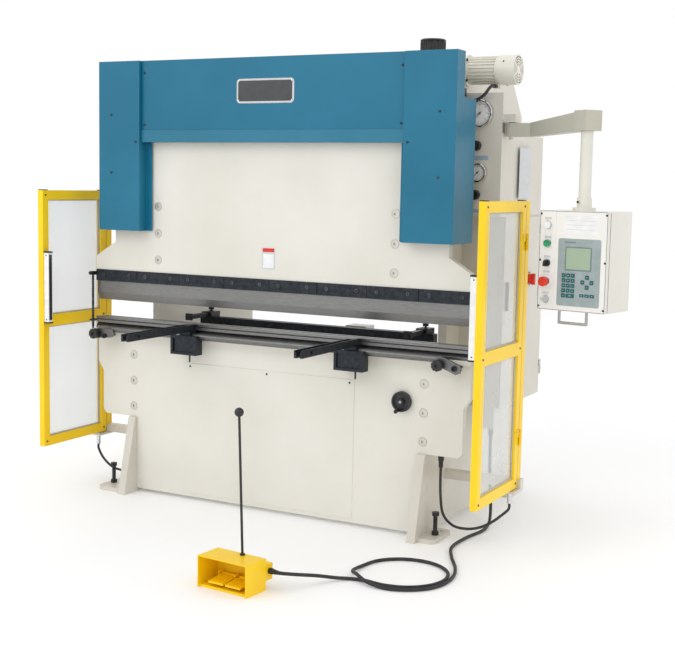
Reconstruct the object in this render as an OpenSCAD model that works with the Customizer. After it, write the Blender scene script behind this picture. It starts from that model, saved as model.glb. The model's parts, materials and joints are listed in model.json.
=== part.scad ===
// Hydraulic sheet metal brake with a moving upper beam, side guards, pendant control and foot pedal.
// X runs along the beam, Y runs into the machine, Z is up. The origin is on the floor, at the centre
// of the four anchor holes. Depths, named d, are measured back from the front of the punch clamps.

/* [Beam and tools] */
// Working length of the punch and die
work_len = 2000; // [1900:20:2000]
// Height of the die's top above the floor
die_top = 862; // [850:1:866]
// Height of the punch's tip with the ram up
punch_tip = 945; // [940:1:950]
// Travel of the ram
ram_stroke = 85; // [60:1:86]
// Thickness of the ram's plate and of the bed's plate
beam_t = 40; // [34:1:40]
// Number of punch clamps
clamp_n = 8; // [4:1:10]

/* [Frame] */
// Thickness of each side plate
side_t = 40; // [36:1:40]
// Distance from the centre to the outer face of a side plate
side_x = 800; // [796:1:800]
// Height of the frame and its covers
frame_h = 2090; // [2085:1:2100]
// Depth of the side plates behind the clamps' front
frame_d = 1080; // [1060:10:1120]
// Thickness of the sheet metal covers
sheet_t = 3; // [2:0.5:4]

/* [Guards] */
// Distance from the centre to the middle of a guard
guard_x = 1130; // [1120:5:1150]
// Lowest edge of the guards
guard_z0 = 231; // [225:1:240]
// Highest edge of the guards
guard_z1 = 1479; // [1450:1:1500]

/* [Pendant] */
// Width of the pendant's box
pendant_w = 306; // [300:2:320]
// Depth of the pendant's box
pendant_d = 150; // [140:2:180]
// Height of the pendant's box
pendant_h = 406; // [400:2:420]
// Turn of the pendant about its post, in degrees
pendant_turn = -11; // [-20:1:0]

/* [Pedal] */
// Width of the pedal's hood
pedal_w = 235; // [220:5:250]
// Turn of the pedal on the floor, in degrees
pedal_turn = -6; // [-15:1:10]

/* [Hidden] */
$fn = 48;
clr = 0.5;                      // running clearance of a sliding or turning fit
front_y = -510;                 // Y of the clamps' front face
half = work_len / 2;            // half of the working length
side_in = side_x - side_t;      // inner face of a side plate
clamp_z0 = 1040;                // lowest edge of the punch clamps
clamp_z1 = 1095;                // lowest edge of the ram's plate
ram_d = [5, 5 + beam_t];        // depth of the ram's plate
bed_d = [15, 15 + beam_t];      // depth of the bed's plate
tool_d = 30;                    // depth of the punch's and die's centre line
wing_z = 375;                   // underside of the bed's wings
table_z = 802;                  // top of the bed's table
die_w = 60;                     // width of the die
anchor = [845, 410];            // place of an anchor hole in X and Y
pad_out = [950, 880];           // outer edge of the left and right foot pads
leveller = [915, 846];          // line of the left and right levelling bolts
guide_x = 628;                  // line of the ram's guide bolts
bolt_x = side_x - side_t / 2;   // line of the bed's bolts
bed_bolt_z = [428, 555, 683];
ram_bolt_z = [1156, 1283, 1412];
bolt_r = 12;                    // radius of a beam bolt
cyl_x = 780;                    // centre line of a hydraulic cylinder
cyl_d = 25;
rod_r = 20;                     // radius of a piston rod
piston_r = 46;                  // radius of a piston
shoulder_z = 1400;              // ram shoulder that carries a piston rod
cover_x = [688, 927];           // inner and outer side of a side cover
cover_z = 1294;                 // lowest edge of a side cover
cover_d = [-64, 152];
centre_z = 1715;                // lowest edge of the centre cover
lip_z = 1771;                   // top of the centre cover's lower band
motor_d = 350;
motor_z = 2044;
motor_r = 62;                   // radius over the cooling fins
cab_x = [side_x, 1000];         // inner and outer face of the side cabinets
gauge_d = 280;                  // depth of the gauge panel
knob_x = 888;
pivot = [1028, 315];            // pendant arm's pivot in X and depth
arm_z = [1754, 1812];           // lower and upper face of the arm
elbow = [1130, 315];
post_at = [1432, 100];          // pendant post in X and depth
pendant_z = 1040;               // underside of the pendant's box
button_u = -114;                // line of the buttons across the pendant
shaft_d = 230;                  // torsion shaft's depth
lever_r = 150;                  // length of a torsion lever
lever_a = asin(ram_stroke / 2 / lever_r);
pin_z = 1343;                   // height of the levers' pins with the ram up
shaft_z = pin_z - ram_stroke / 2;
lever_x = 560;                  // place of a torsion lever
rail_d = -36;
rail_z = 806;
rail_r = 15;
arm_x = [-420, 457];            // the two sheet support arms
gauge_beam_d = 400;             // depth of the back gauge's beam
gauge_guide_x = 420;
wheel = [682, 598];             // handwheel in X and Z
hinge_d = 222.5;                // depth of a guard's hinge
stile = [30, 40];               // guard profile across X and Y
hinge_x = guard_x + stile[0] / 2 + 7;
hinge_zs = [420, 1270];         // undersides of a guard's hinges
door_hinge = [cab_x[1] + 6, 885.5];
door_hinge_zs = [640, 1250];    // undersides of the cabinet door's hinges
pedal_at = [447, -984];
pedal_box_z = 70;

// Routes of the free cables: X, depth and Z of hand-placed points
loop_c = [935, -488];           // centre of the pedal cable's loop on the floor
loop_r = 178;
cable_r = 7;
lie = 8;                        // height of a cable's centre line on the floor
function loop_point(i) =
    [loop_c[0] + loop_r * cos(270 + 30 * i), loop_c[1] + loop_r * sin(270 + 30 * i), lie];
pedal_route = concat(
    [[582, -910, 70], [600, -912, 70], [622, -907, 68], [656, -862, 57], [700, -770, 34], [745, -700, 14],
     [790, -664, lie], [850, -654, lie]],
    [for (i = [0 : 9]) loop_point(i)],
    [[762, -590, 16], [812, -650, 25], [880, -690, 15], [960, -696, lie], [1040, -668, lie],
     [1104, -605, lie], [1130, -520, lie], [1124, -425, lie], [1088, -320, lie],
     [1020, -196, lie], [965, -60, lie], [965, 100, lie], [985, 240, lie], [978, 340, 20],
     [956, 412, 80], [936, 444, 190], [930, 450, 310], [930, 450, 400]]);
right_route = [[862, 35, 322], [862, 35, 280], [864, 36, 200], [876, 41, 116],
    [914, 60, 66], [968, 84, 52], [1018, 112, 58], [1062, 138, 80], [1100, 158, 112],
    [1128, 174, 142], [1130, 175, 168]];
left_route = [[-1130, 175, 168], [-1129, 175, 142], [-1104, 182, 94], [-1056, 192, 52],
    [-996, 200, 38], [-926, 200, 46], [-866, 200, 72], [-832, 200, 89], [-813.5, 200, 90]];
motor_route = [[945, 310, 1973], [945, 285, 1972], [941, 258, 1958], [926, 244, 1930],
    [896, 238, 1910], [860, 238, 1902], [832, 244, 1896], [817, 252, 1899], [815, 257, 1914]];

function depth(d) = front_y + d;
function at_depth(p) = [p[0], depth(p[1]), p[2]];

// ---- shared shapes -------------------------------------------------------------------------

// Block between two values in X, depth and Z
module block(x, d, z) {
    translate([x[0], depth(d[0]), z[0]]) cube([x[1] - x[0], d[1] - d[0], z[1] - z[0]]);
}

module along_x(x, d, z, r) {
    translate([x[0], depth(d), z]) rotate([0, 90, 0]) cylinder(h = x[1] - x[0], r = r);
}

module along_y(x, d, z, r) {
    translate([x, depth(d[0]), z]) rotate([-90, 0, 0]) cylinder(h = d[1] - d[0], r = r);
}

module along_z(x, d, z, r) {
    translate([x, depth(d), z[0]]) cylinder(h = z[1] - z[0], r = r);
}

module both_sides() {
    children();
    mirror([1, 0, 0]) children();
}

// Plate that stands across the machine: its outline is in X and Z
module front_plate(d) {
    translate([0, depth(d[1]), 0]) rotate([90, 0, 0]) linear_extrude(d[1] - d[0]) children();
}

// Plate that stands along the machine: its outline is in depth and Z
module side_outline(x) {
    translate([x[0], front_y, 0]) rotate([90, 0, 90]) linear_extrude(x[1] - x[0]) children();
}

// Open sheet metal tray with its walls inside the block
module shell(x, d, z, t) {
    difference() {
        block(x, d, z);
        block([x[0] + t, x[1] - t], [d[0] + t, d[1] - t], [z[0] + t, z[1] - t]);
    }
}

// Lower half of a lift-off hinge, with its pin
module pin_knuckle(x, d, z, r) {
    along_z(x, d, [z, z + 35], r);
    along_z(x, d, [z + 34, z + 60], r / 2);
}

// Upper half of a lift-off hinge with the bore for its pin. The leaf is its child.
module bore_knuckle(x, d, z, r) {
    difference() {
        union() {
            along_z(x, d, [z + 35 + clr, z + 70], r);
            children();
        }
        along_z(x, d, [z + 34, z + 62], r / 2 + clr / 2);
    }
}

// Socket screw that looks to the front: its head ends at depth d
module socket_screw(x, d, z, head_r, head_h, shank_r, shank_h) {
    difference() {
        union() {
            along_y(x, [d, d + head_h], z, head_r);
            along_y(x, [d + head_h, d + head_h + shank_h], z, shank_r);
        }
        translate([x, depth(d) - 1, z]) rotate([-90, 0, 0]) cylinder(h = 0.6 * head_h, r = 0.5 * head_r, $fn = 6);
    }
}

// Smooth line through a list of points
function spline(p0, p1, p2, p3, t) =
    0.5 * (2 * p1 + (p2 - p0) * t + (2 * p0 - 5 * p1 + 4 * p2 - p3) * t * t
        + (3 * p1 - p0 - 3 * p2 + p3) * t * t * t);
function smooth_path(p, parts) = concat([for (i = [0 : len(p) - 2]) for (k = [0 : parts - 1])
    spline(p[max(i - 1, 0)], p[i], p[i + 1], p[min(i + 2, len(p) - 1)], k / parts)],
    [p[len(p) - 1]]);
function unit(v) = v / norm(v);
function side_of(t) = abs(t[2]) > 0.9 ? unit(cross(t, [0, 1, 0])) : unit(cross([0, 0, 1], t));

// The first side is carried from ring to ring, so the tube never twists
function carried(dirs, i, s) = i == 0 ? s : let (v = s - dirs[i] * (s * dirs[i])) unit(v);
function frames(dirs, i = 0, s = undef) =
    let (now = i == 0 ? side_of(dirs[0]) : carried(dirs, i, s))
    i == len(dirs) - 1 ? [now] : concat([now], frames(dirs, i + 1, now));

module tube(route, r, parts, sides) {
    path = smooth_path([for (p = route) at_depth(p)], parts);
    last = len(path) - 1;
    dirs = [for (i = [0 : last]) unit(path[min(i + 1, last)] - path[max(i - 1, 0)])];
    first = frames(dirs);
    rings = [for (i = [0 : last]) for (k = [0 : sides - 1])
        path[i] + r * (cos(360 * k / sides) * first[i]
            + sin(360 * k / sides) * cross(dirs[i], first[i]))];
    walls = [for (i = [0 : last - 1]) for (k = [0 : sides - 1])
        [i * sides + k, i * sides + (k + 1) % sides,
         (i + 1) * sides + (k + 1) % sides, (i + 1) * sides + k]];
    polyhedron(rings, concat([for (w = walls) [w[3], w[2], w[1], w[0]]],
        [[for (k = [0 : sides - 1]) k], [for (k = [sides - 1 : -1 : 0]) last * sides + k]]));
}

// ---- frame ---------------------------------------------------------------------------------

module side_profile() {
    polygon([[-87, 0], [140, 0], [170, 30], [850, 30], [880, 0], [frame_d, 0],
        [frame_d, frame_h - 210], [900, frame_h], [100, frame_h], [100, 1460], [60, 1460],
        [60, 1140], [200, 1100], [200, 820], [96, table_z - 20], [bed_d[1], table_z - 20],
        [bed_d[1], wing_z], [0, wing_z]]);
}

// Foot pad on one side, s, from the side plate to x
module foot_pad(s, x, d) {
    translate([0, front_y, 0]) scale([s, 1, 1]) linear_extrude(20)
        polygon([[side_x, d[0]], [x - 20, d[0]], [x, d[0] + 20], [x, d[1] - 20],
            [x - 20, d[1]], [side_x, d[1]]]);
}

module side_plates() {
    color("beige") difference() {
        union() {
            both_sides() {
                side_outline([side_in, side_x]) side_profile();
                block([guide_x + 34, side_in], [60, 120], [1140, 1476]);
                block([guide_x + 12, guide_x + 34], [78, 98], [1140, 1476]);
            }
            for (k = [0, 1]) for (d = [[-60, 140], [880, frame_d]])
                foot_pad(2 * k - 1, pad_out[k], d);
        }
        both_sides() {
            for (z = bed_bolt_z) along_y(bolt_x, [bed_d[1] - 1, bed_d[1] + 50], z, bolt_r);
            for (y = [-anchor[1], anchor[1]]) translate([anchor[0], y, -1]) cylinder(h = 30, r = 9);
            along_x([side_in - 1, side_x + 1], shaft_d, shaft_z, 30);
        }
        for (k = [0, 1]) for (d = [30, 990])
            along_z((2 * k - 1) * leveller[k], d, [-1, 29], 10);
        along_x([side_in - 1, side_x + 1], motor_d, motor_z, 25);
        along_x([-side_x - 1, -side_in + 1], 200, 90, 10);
    }
}

module bed_profile() {
    polygon([[-760, 17], [760, 17], [760, wing_z], [948, wing_z], [967, wing_z + 19], [967, 591],
        [997, 636], [997, table_z - 20], [-997, table_z - 20], [-997, 636], [-967, 591],
        [-967, wing_z + 19], [-948, wing_z], [-760, wing_z]]);
}

module bed_plate() {
    color("ivory") difference() {
        union() {
            front_plate(bed_d) bed_profile();
            block([-half, half], [-6, 95], [table_z - 20, table_z]);
            block([-side_in, side_in], [bed_d[1], 95], [table_z - 60, table_z - 20]);
        }
        for (s = [-1, 1]) for (z = bed_bolt_z) {
            along_y(s * bolt_x, [bed_d[0] - 1, bed_d[0] + 14], z, 21);
            along_y(s * bolt_x, [bed_d[0], bed_d[1] + 1], z, bolt_r);
        }
        along_y(wheel[0], [bed_d[0] - 1, bed_d[1] + 1], wheel[1], 10 + clr);
        along_z(862, 35, [wing_z - 1, wing_z + 25], 9);
    }
}

// Vee cut along the die: its mouth is w wide at (d, z), and turn aims it
module vee(d, z, w, turn) {
    side_outline([-half - 1, half + 1]) translate([d, z]) rotate(turn)
        polygon([[-w / 2, 0.01], [-1, -w / 2], [1, -w / 2], [w / 2, 0.01]]);
}

module die_block() {
    d0 = tool_d - die_w / 2;
    mid_z = (die_top + table_z) / 2;
    color("silver") difference() {
        block([-half, half], [d0, d0 + die_w], [table_z, die_top]);
        vee(tool_d, die_top, 26, 0);
        vee(d0, mid_z, 34, 90);
        vee(d0 + die_w, mid_z, 18, -90);
        for (d = [d0 + 7, d0 + die_w - 7])
            block([-half - 1, half + 1], [d - 1.5, d + 1.5], [die_top - 3, die_top + 1]);
    }
}

module frame_fasteners() {
    color("dimgray") both_sides() {
        for (z = bed_bolt_z) {
            socket_screw(bolt_x, bed_d[0], z, 15, 14, bolt_r - 0.2, 60);
            difference() {
                along_y(bolt_x, [bed_d[0] - 1, bed_d[0] + 14], z, 20.5);
                along_y(bolt_x, [bed_d[0] - 2, bed_d[0] + 15], z, 15.5);
            }
        }
    }
    color("dimgray") for (k = [0, 1]) for (d = [30, 990])
        translate([(2 * k - 1) * leveller[k], depth(d), 0]) {
            cylinder(h = 108, r = 9.5);
            translate([0, 0, 20]) cylinder(h = 16, r = 17, $fn = 6);
            translate([0, 0, 106]) cylinder(h = 16, r = 17, $fn = 6);
        }
    color("black") {
        for (p = [[853, 1843], [853, 1570], [709, 1716]]) both_sides()
            along_y(p[0], [cover_d[0] - 3, cover_d[0]], p[1], 5);
        for (p = [[670, 2037], [670, 1796]]) both_sides() along_y(p[0], [-49, -46], p[1], 5);
        for (x = [-442, -14, 419]) along_y(x, [bed_d[0] - 3, bed_d[0]], 655, 5);
    }
}

module rear_frame() {
    color("beige") {
        block([-side_in, side_in], [980, 1060], [120, 300]);
        block([-side_in, side_in], [980, 1060], [1640, 1800]);
        block([-side_in, side_in], [900, 980], [640, 700]);
    }
    color("silver") both_sides() {
        block([gauge_guide_x - 30, gauge_guide_x + 30], [bed_d[1], 980], [700, 740]);
        block([gauge_guide_x - 12, gauge_guide_x + 12], [95, 900], [740, 762]);
    }
    color("gray") difference() {
        block([-60, 60], [880, 980], [700, 800]);
        along_y(0, [879, 981], 757, 18);
    }
}

// ---- hydraulics ----------------------------------------------------------------------------

module oil_tank() {
    color("ivory") difference() {
        shell([-side_in, side_in], [200, 520], [1770, 2082], 6);
        along_x([side_in - 7, side_in + 1], motor_d, motor_z, 25);
        along_z(632, motor_d, [2070, 2090], 30);
    }
    color("black") difference() {
        along_z(632, motor_d, [2082, 2184], 56);
        for (a = [0 : 30 : 330])
            translate([632, depth(motor_d), 2100]) rotate(a) translate([56, -3, 0]) cube([6, 6, 90]);
    }
}

module cylinder_barrels() {
    color("gray") both_sides() difference() {
        union() {
            along_z(cyl_x, cyl_d, [1480, 2000], 60);
            block([cyl_x - 66, cyl_x + 66], [cyl_d - 50, 100], [1700, 1760]);
        }
        along_z(cyl_x, cyl_d, [1540, 1960], piston_r + clr);
        along_z(cyl_x, cyl_d, [1479, 1541], rod_r + clr);
    }
}

module piston_rods() {
    color("silver") both_sides() {
        along_z(cyl_x, cyl_d, [shoulder_z, 1880], rod_r);
        along_z(cyl_x, cyl_d, [1880, 1935], piston_r);
    }
}

module motor_housing() {
    color("antiquewhite") difference() {
        union() {
            along_x([side_x, side_x + 14], motor_d, motor_z, 70);
            along_x([side_x, 958], motor_d, motor_z, 54);
            for (a = [7.5 : 15 : 352.5]) translate([side_x + 24, depth(motor_d), motor_z])
                rotate([a, 0, 0]) translate([0, -1.8, 40]) cube([126, 3.6, motor_r - 41]);
            along_x([950, 959], motor_d, motor_z, 63);
            block([925, 965], [motor_d - 18, motor_d + 18], [motor_z - 78, motor_z - 50]);
        }
        along_x([side_x + 10, 952], motor_d, motor_z, 42);
        along_x([side_x - 1, 959], motor_d, motor_z, 14);
    }
    color("antiquewhite") difference() {
        along_x([958, 1040], motor_d, motor_z, 65);
        along_x([957, 1036], motor_d, motor_z, 61);
        for (r = [20 : 11 : 53]) difference() {
            along_x([1034, 1042], motor_d, motor_z, r + 6);
            along_x([1033, 1043], motor_d, motor_z, r);
            for (a = [0, 60, 120]) translate([1030, depth(motor_d), motor_z]) rotate([a, 0, 0])
                translate([0, -3, -70]) cube([20, 6, 140]);
        }
    }
}

module motor_rotor() {
    color("gray") {
        along_x([side_in - 40, 1010], motor_d, motor_z, 12);
        along_x([side_x + 30, 940], motor_d, motor_z, 40);
        along_x([975, 998], motor_d, motor_z, 20);
        for (a = [0 : 60 : 300]) translate([978, depth(motor_d), motor_z]) rotate([a, 0, 0])
            translate([0, -2, 15]) cube([18, 4, 38]);
    }
}

module pipe_run(x0, x1, d0, d1, z0, z1) {
    along_z(x0, d0, [z0, z1], 9);
    translate([x0, depth(d0), z1]) sphere(9);
    translate([x0, depth(d0), z1]) rotate([-90, 0, 0]) cylinder(h = d1 - d0, r = 9);
    translate([x0, depth(d1), z1]) sphere(9);
    along_x([min(x0, x1), max(x0, x1)], d1, z1, 9);
}

module hydraulic_block() {
    color("dimgray") {
        difference() {
            along_x([side_in - 150, side_in - 6], motor_d, motor_z - 36, 62);
            along_x([side_in - 151, side_in - 5], motor_d, motor_z, 12 + clr);
        }
        block([-90, 90], [150, 200], [1860, 1980]);
        for (x = [-60, 0, 60]) along_y(x, [80, 150], 1920, 20);
    }
    color("silver") both_sides() pipe_run(cyl_x - 90, 90, cyl_d + 95, 175, 1800, 1880);
}

// ---- ram and punch -------------------------------------------------------------------------

module ram_profile() {
    polygon([[-half, clamp_z1], [half, clamp_z1], [half, 1161], [883, 1235], [883, shoulder_z],
        [684, shoulder_z], [684, 1950], [-684, 1950], [-684, shoulder_z], [-883, shoulder_z],
        [-883, 1235], [-half, 1161]]);
}

module ram_plate() {
    color("ivory") {
        difference() {
            front_plate(ram_d) ram_profile();
            for (s = [-1, 1]) for (z = ram_bolt_z) {
                along_y(s * guide_x, [ram_d[0] - 1, ram_d[0] + 14], z, 21);
                along_y(s * guide_x, [ram_d[0], ram_d[1] + 1], z, bolt_r);
            }
        }
        block([-half, half], [27.5, ram_d[1]], [clamp_z0 + 2, clamp_z1]);
    }
    color("silver") both_sides() difference() {
        union() {
            block([guide_x - 30, guide_x + 34 - clr], [ram_d[1], 78 - clr], [1130, 1440]);
            block([lever_x - 26, lever_x + 26], [ram_d[1], 62], [1290, 1396]);
            for (x = [lever_x - 26, lever_x + 16])
                block([x, x + 10], [62, 106], [pin_z - 20, pin_z + 20]);
        }
        for (z = ram_bolt_z) along_y(guide_x, [ram_d[1] - 1, 79], z, bolt_r);
        block([lever_x - 27, lever_x + 27], [70, 98], [pin_z - 8, pin_z + 8]);
    }
}

module ram_screws() {
    color("dimgray") {
        both_sides() for (z = ram_bolt_z) {
            socket_screw(guide_x, ram_d[0], z, 15, 14, bolt_r - 0.2, 54);
            difference() {
                along_y(guide_x, [ram_d[0] - 1, ram_d[0] + 14], z, 20.5);
                along_y(guide_x, [ram_d[0] - 2, ram_d[0] + 15], z, 15.5);
            }
        }
        for (i = [0 : clamp_n - 1]) for (s = [-1, 1])
            socket_screw(clamp_mid(i) + s * 75, -2, 1070, 9, 10, 5, 19.5);
    }
}

function clamp_mid(i) = -half + work_len * (i + 0.5) / clamp_n;

module punch_clamps() {
    color("darkslategray") for (i = [0 : clamp_n - 1]) difference() {
        w = work_len / clamp_n - 2;
        block([clamp_mid(i) - w / 2, clamp_mid(i) + w / 2], [0, 14], [clamp_z0, clamp_z1]);
        for (s = [-1, 1]) {
            along_y(clamp_mid(i) + s * 75, [-1, 8], 1070, 9.5);
            along_y(clamp_mid(i) + s * 75, [-1, 15], 1070, 5.5);
        }
    }
}

module punch() {
    color("silver") side_outline([-half, half])
        polygon([[14, clamp_z0 - 2], [14, 1062], [27.5, 1062], [27.5, clamp_z0 - 2],
            [45, clamp_z0 - 2], [45, punch_tip + 36], [tool_d + 1.5, punch_tip],
            [tool_d - 1.5, punch_tip], [13, punch_tip + 36], [13, clamp_z0 - 2]]);
}

module scale_rod() {
    color("black") {
        along_z(-1014, -8, [800, 1078], 5);
        for (z = [812 : 12 : 1060]) along_z(-1014, -8, [z, z + 5], 6.5);
        block([-1024, -half + 1], [-16, 12], [1066, 1084]);
        along_y(-1014, [-30, -16], 1075, 9);
    }
}

module torsion_shaft() {
    color("gray") {
        along_x([-side_x, side_x], shaft_d, shaft_z, 29.5);
        both_sides() translate([lever_x, depth(shaft_d), shaft_z]) rotate([-lever_a, 0, 0]) {
            translate([-12, -lever_r, -12]) cube([24, lever_r - 20, 24]);
            translate([-12, -lever_r, 0]) rotate([0, 90, 0]) cylinder(h = 24, r = 12);
            translate([-25, -lever_r, 0]) rotate([0, 90, 0]) cylinder(h = 50, r = 7);
        }
    }
}

// ---- covers --------------------------------------------------------------------------------

// Folded cover over one cylinder: notch is the depth at which its upper outer side ends
module side_cover(notch) {
    x0 = cover_x[0];
    x1 = cover_x[1];
    color("steelblue") {
        block([x0, x1], [cover_d[0], cover_d[0] + sheet_t], [cover_z, frame_h + 4]);
        block([x1 - sheet_t, x1], cover_d, [cover_z, 1905]);
        block([x1 - sheet_t, x1], [cover_d[0], notch], [1905, frame_h + 4]);
        block([x0, x0 + sheet_t], [cover_d[0], -4], [cover_z, frame_h + 4]);
        block([x0 - 33, x0 + sheet_t], [-6.5, -4], [cover_z, centre_z - 1]);
        block([x0, x1], [cover_d[0], notch], [frame_h, frame_h + 4]);
        block([x0, 840], [cover_d[0], cover_d[1]], [frame_h, frame_h + 4]);
    }
}

module left_cover() {
    mirror([1, 0, 0]) side_cover(cover_d[1]);
}

module right_cover() {
    side_cover(20);
}

module centre_cover() {
    x = cover_x[0] - 0.5;
    color("steelblue") {
        block([-x, x], [-46, -46 + sheet_t], [centre_z, frame_h + 4]);
        block([-x, x], [-46, 200], [frame_h, frame_h + 4]);
        block([-x, x], [-49, -46], [centre_z, lip_z]);
        block([-x, x], [-46, -8], [centre_z, centre_z + sheet_t]);
    }
}

// ---- right side ----------------------------------------------------------------------------

module side_enclosure() {
    color("beige") {
        shell(cab_x, [gauge_d, 830], [1405, 1770], sheet_t);
        block(cab_x, [gauge_d, gauge_d + sheet_t], [1770, 1942]);
        block([cab_x[1] - sheet_t, cab_x[1]], [gauge_d, gauge_d + 14], [1825, 1942]);
    }
    color("ivory") {
        block([930, 990], [345, 400], [1770, 1850]);
        block([930, 1056], [288, 345], [1815, 1850]);
        block([930, 990], [345, 400], [1700, 1770]);
        along_z(pivot[0], pivot[1], [arm_z[0] - 12, 1816], 10);
    }
}

module gauge_body(x, z, r, t) {
    difference() {
        along_y(x, [gauge_d - t, gauge_d], z, r);
        along_y(x, [gauge_d - t - 1, gauge_d - t + 9], z, r - 5);
    }
    along_y(x, [gauge_d - t + 6, gauge_d - t + 9], z, 3);
}

module pressure_gauges() {
    color("black") {
        gauge_body(900, 1853, 57, 26);
        gauge_body(898, 1596, 39, 26);
    }
}

// Needle from the gauge's middle, turned by a degrees from straight up
module needle(x, z, long, a) {
    color("black") translate([x, depth(gauge_d - 20.5), z]) rotate([90, 0, 0]) {
        rotate(a) {
            cylinder(h = 1.5, r = 5);
            translate([-1.2, -12, 0]) cube([2.4, long + 12, 1.5]);
        }
    }
}

module large_needle() {
    needle(900, 1853, 38, 135);
}

module small_needle() {
    needle(898, 1596, 24, 135);
}

module valve_knob(z) {
    color("black") difference() {
        union() {
            along_y(knob_x, [gauge_d - 34, gauge_d - 8], z, 22);
            along_y(knob_x, [gauge_d - 8, gauge_d - clr], z, 12);
        }
        for (a = [0 : 45 : 315]) translate([knob_x, depth(gauge_d - 36), z]) rotate([-90, 0, 0])
            rotate(a) translate([23, 0, 0]) cylinder(h = 24, r = 4);
    }
}

module upper_valve_knob() {
    valve_knob(1714);
}

module lower_valve_knob() {
    valve_knob(1500);
}

module electrical_cabinet() {
    color("ivory") {
        difference() {
            block(cab_x, [350, 880], [546, 1404]);
            block([cab_x[0] + 3, cab_x[1] + 1], [353, 877], [549, 1401]);
        }
        block([cab_x[0] + 3, cab_x[0] + 8], [370, 860], [570, 1380]);
        block([880, 960], [400, 500], [440, 546]);
    }
    color("silver") for (z = door_hinge_zs) {
        pin_knuckle(door_hinge[0], door_hinge[1], z, 5);
        block([cab_x[1] - 15, door_hinge[0]], [880, 883.5], [z, z + 35]);
    }
}

module cabinet_door() {
    color("ivory") difference() {
        union() {
            block([cab_x[1] + 1, cab_x[1] + 4], [352, 878], [548, 1402]);
            for (d = [358, 866]) block([cab_x[1] - 18, cab_x[1] + 1], [d, d + 3], [556, 1394]);
        }
        along_x([cab_x[1], cab_x[1] + 5], 666, 1113, 11);
    }
    color("silver") for (z = door_hinge_zs) bore_knuckle(door_hinge[0], door_hinge[1], z, 5)
        block([cab_x[1] + 1, cab_x[1] + 4.5], [870, 884], [z + 35 + clr, z + 70]);
    color("black") {
        block([cab_x[1] + 4, cab_x[1] + 16], [376, 392], [985, 1115]);
        difference() {
            block([cab_x[1] + 4, cab_x[1] + 7], [636, 696], [1082, 1144]);
            along_x([cab_x[1] + 3, cab_x[1] + 8], 666, 1113, 11);
        }
    }
}

module main_switch() {
    color("red") {
        along_x([cab_x[1] - 10, cab_x[1] + 30], 666, 1113, 10);
        along_x([cab_x[1] + 8, cab_x[1] + 26], 666, 1113, 24);
        block([cab_x[1] + 26, cab_x[1] + 42], [659, 673], [1087, 1139]);
    }
}

// ---- pendant -------------------------------------------------------------------------------

module at_pendant() {
    translate([post_at[0], depth(post_at[1]), pendant_z]) rotate(pendant_turn) children();
}

module pendant_arm() {
    run = [post_at[0] - elbow[0], post_at[1] - elbow[1]];
    turn = atan2(run[1], run[0]);
    color("ivory") difference() {
        union() {
            block([pivot[0], elbow[0]], [290, 340], arm_z);
            along_z(pivot[0], pivot[1], [arm_z[0] + 1, arm_z[1] - 1], 24);
            along_z(elbow[0], elbow[1], [arm_z[0] + 1, arm_z[1] - 1], 24);
            translate([elbow[0], depth(elbow[1]), 0]) rotate([0, 0, turn])
                translate([0, 25, 0]) rotate([90, 0, 0]) linear_extrude(50)
                polygon([[0, arm_z[0]], [norm(run), 1768], [norm(run), 1850], [0, arm_z[1]]]);
            translate([post_at[0], depth(post_at[1]), 1768]) rotate(turn)
                translate([-40, -40, 0]) cube([80, 80, 82]);
        }
        along_z(pivot[0], pivot[1], [arm_z[0] - 1, arm_z[1] + 1], 10 + clr);
        along_z(post_at[0], post_at[1], [1760, 1820], 15 + clr);
    }
}

module pendant_post() {
    color("ivory") {
        along_z(post_at[0], post_at[1], [1500, 1767], 25);
        along_z(post_at[0], post_at[1], [1767, 1818], 15);
        along_z(post_at[0], post_at[1], [1460, 1500], 30);
        along_z(post_at[0], post_at[1], [pendant_z + pendant_h, 1460], 47);
    }
    color("black") at_pendant() translate([-10, -20, 442]) rotate([90, 0, 0])
        cylinder(h = 20, r = 5);
}

module pendant_box() {
    w = pendant_w;
    d = pendant_d;
    color("ivory") at_pendant() {
        difference() {
            translate([-w / 2, -d / 2 - 10, 0]) cube([w, d + 60, pendant_h]);
            translate([-w / 2 + 3, -d / 2 - 7, 3]) cube([w - 6, d + 54, pendant_h - 6]);
            for (z = [43, 117, 192, 272, 347]) translate([button_u, -d / 2 - 11, z])
                rotate([-90, 0, 0]) cylinder(h = 6, r = 11);
            translate([-w / 2 + 74, -d / 2 - 11, -1]) cube([1.5, 2, pendant_h + 2]);
        }
    }
    color("silver") at_pendant() {
        for (s = [-1, 1]) translate([-5 + s * 62, -50, -52]) cylinder(h = 52, r = 6);
        for (s = [-1, 1]) translate([-5 + s * 62, -50, -52]) sphere(6);
        translate([-67, -50, -52]) rotate([0, 90, 0]) cylinder(h = 124, r = 6);
    }
}

// Push button or knob at height z on the pendant's face: its stem runs into the box
module face_control(z, head_r, head_h, gap) {
    at_pendant() translate([button_u, -pendant_d / 2 - 10, z]) rotate([90, 0, 0]) {
        translate([0, 0, -20]) cylinder(h = 20 + gap, r = 10);
        translate([0, 0, gap]) cylinder(h = head_h, r = head_r);
    }
}

module white_button() {
    color("white") face_control(347, 14, 8, 5);
}

module start_button() {
    color("green") face_control(272, 14, 8, 5);
}

module mode_selector() {
    color("black") {
        face_control(192, 14, 8, 2);
        at_pendant() translate([button_u, -pendant_d / 2 - 20, 192]) rotate([90, 20, 0])
            translate([-4, -13, 0]) cube([8, 26, 14]);
    }
}

module stop_button() {
    color("red") {
        face_control(117, 13, 14, 6);
        at_pendant() translate([button_u, -pendant_d / 2 - 30, 117]) rotate([90, 0, 0])
            cylinder(h = 14, r = 20);
    }
}

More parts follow.
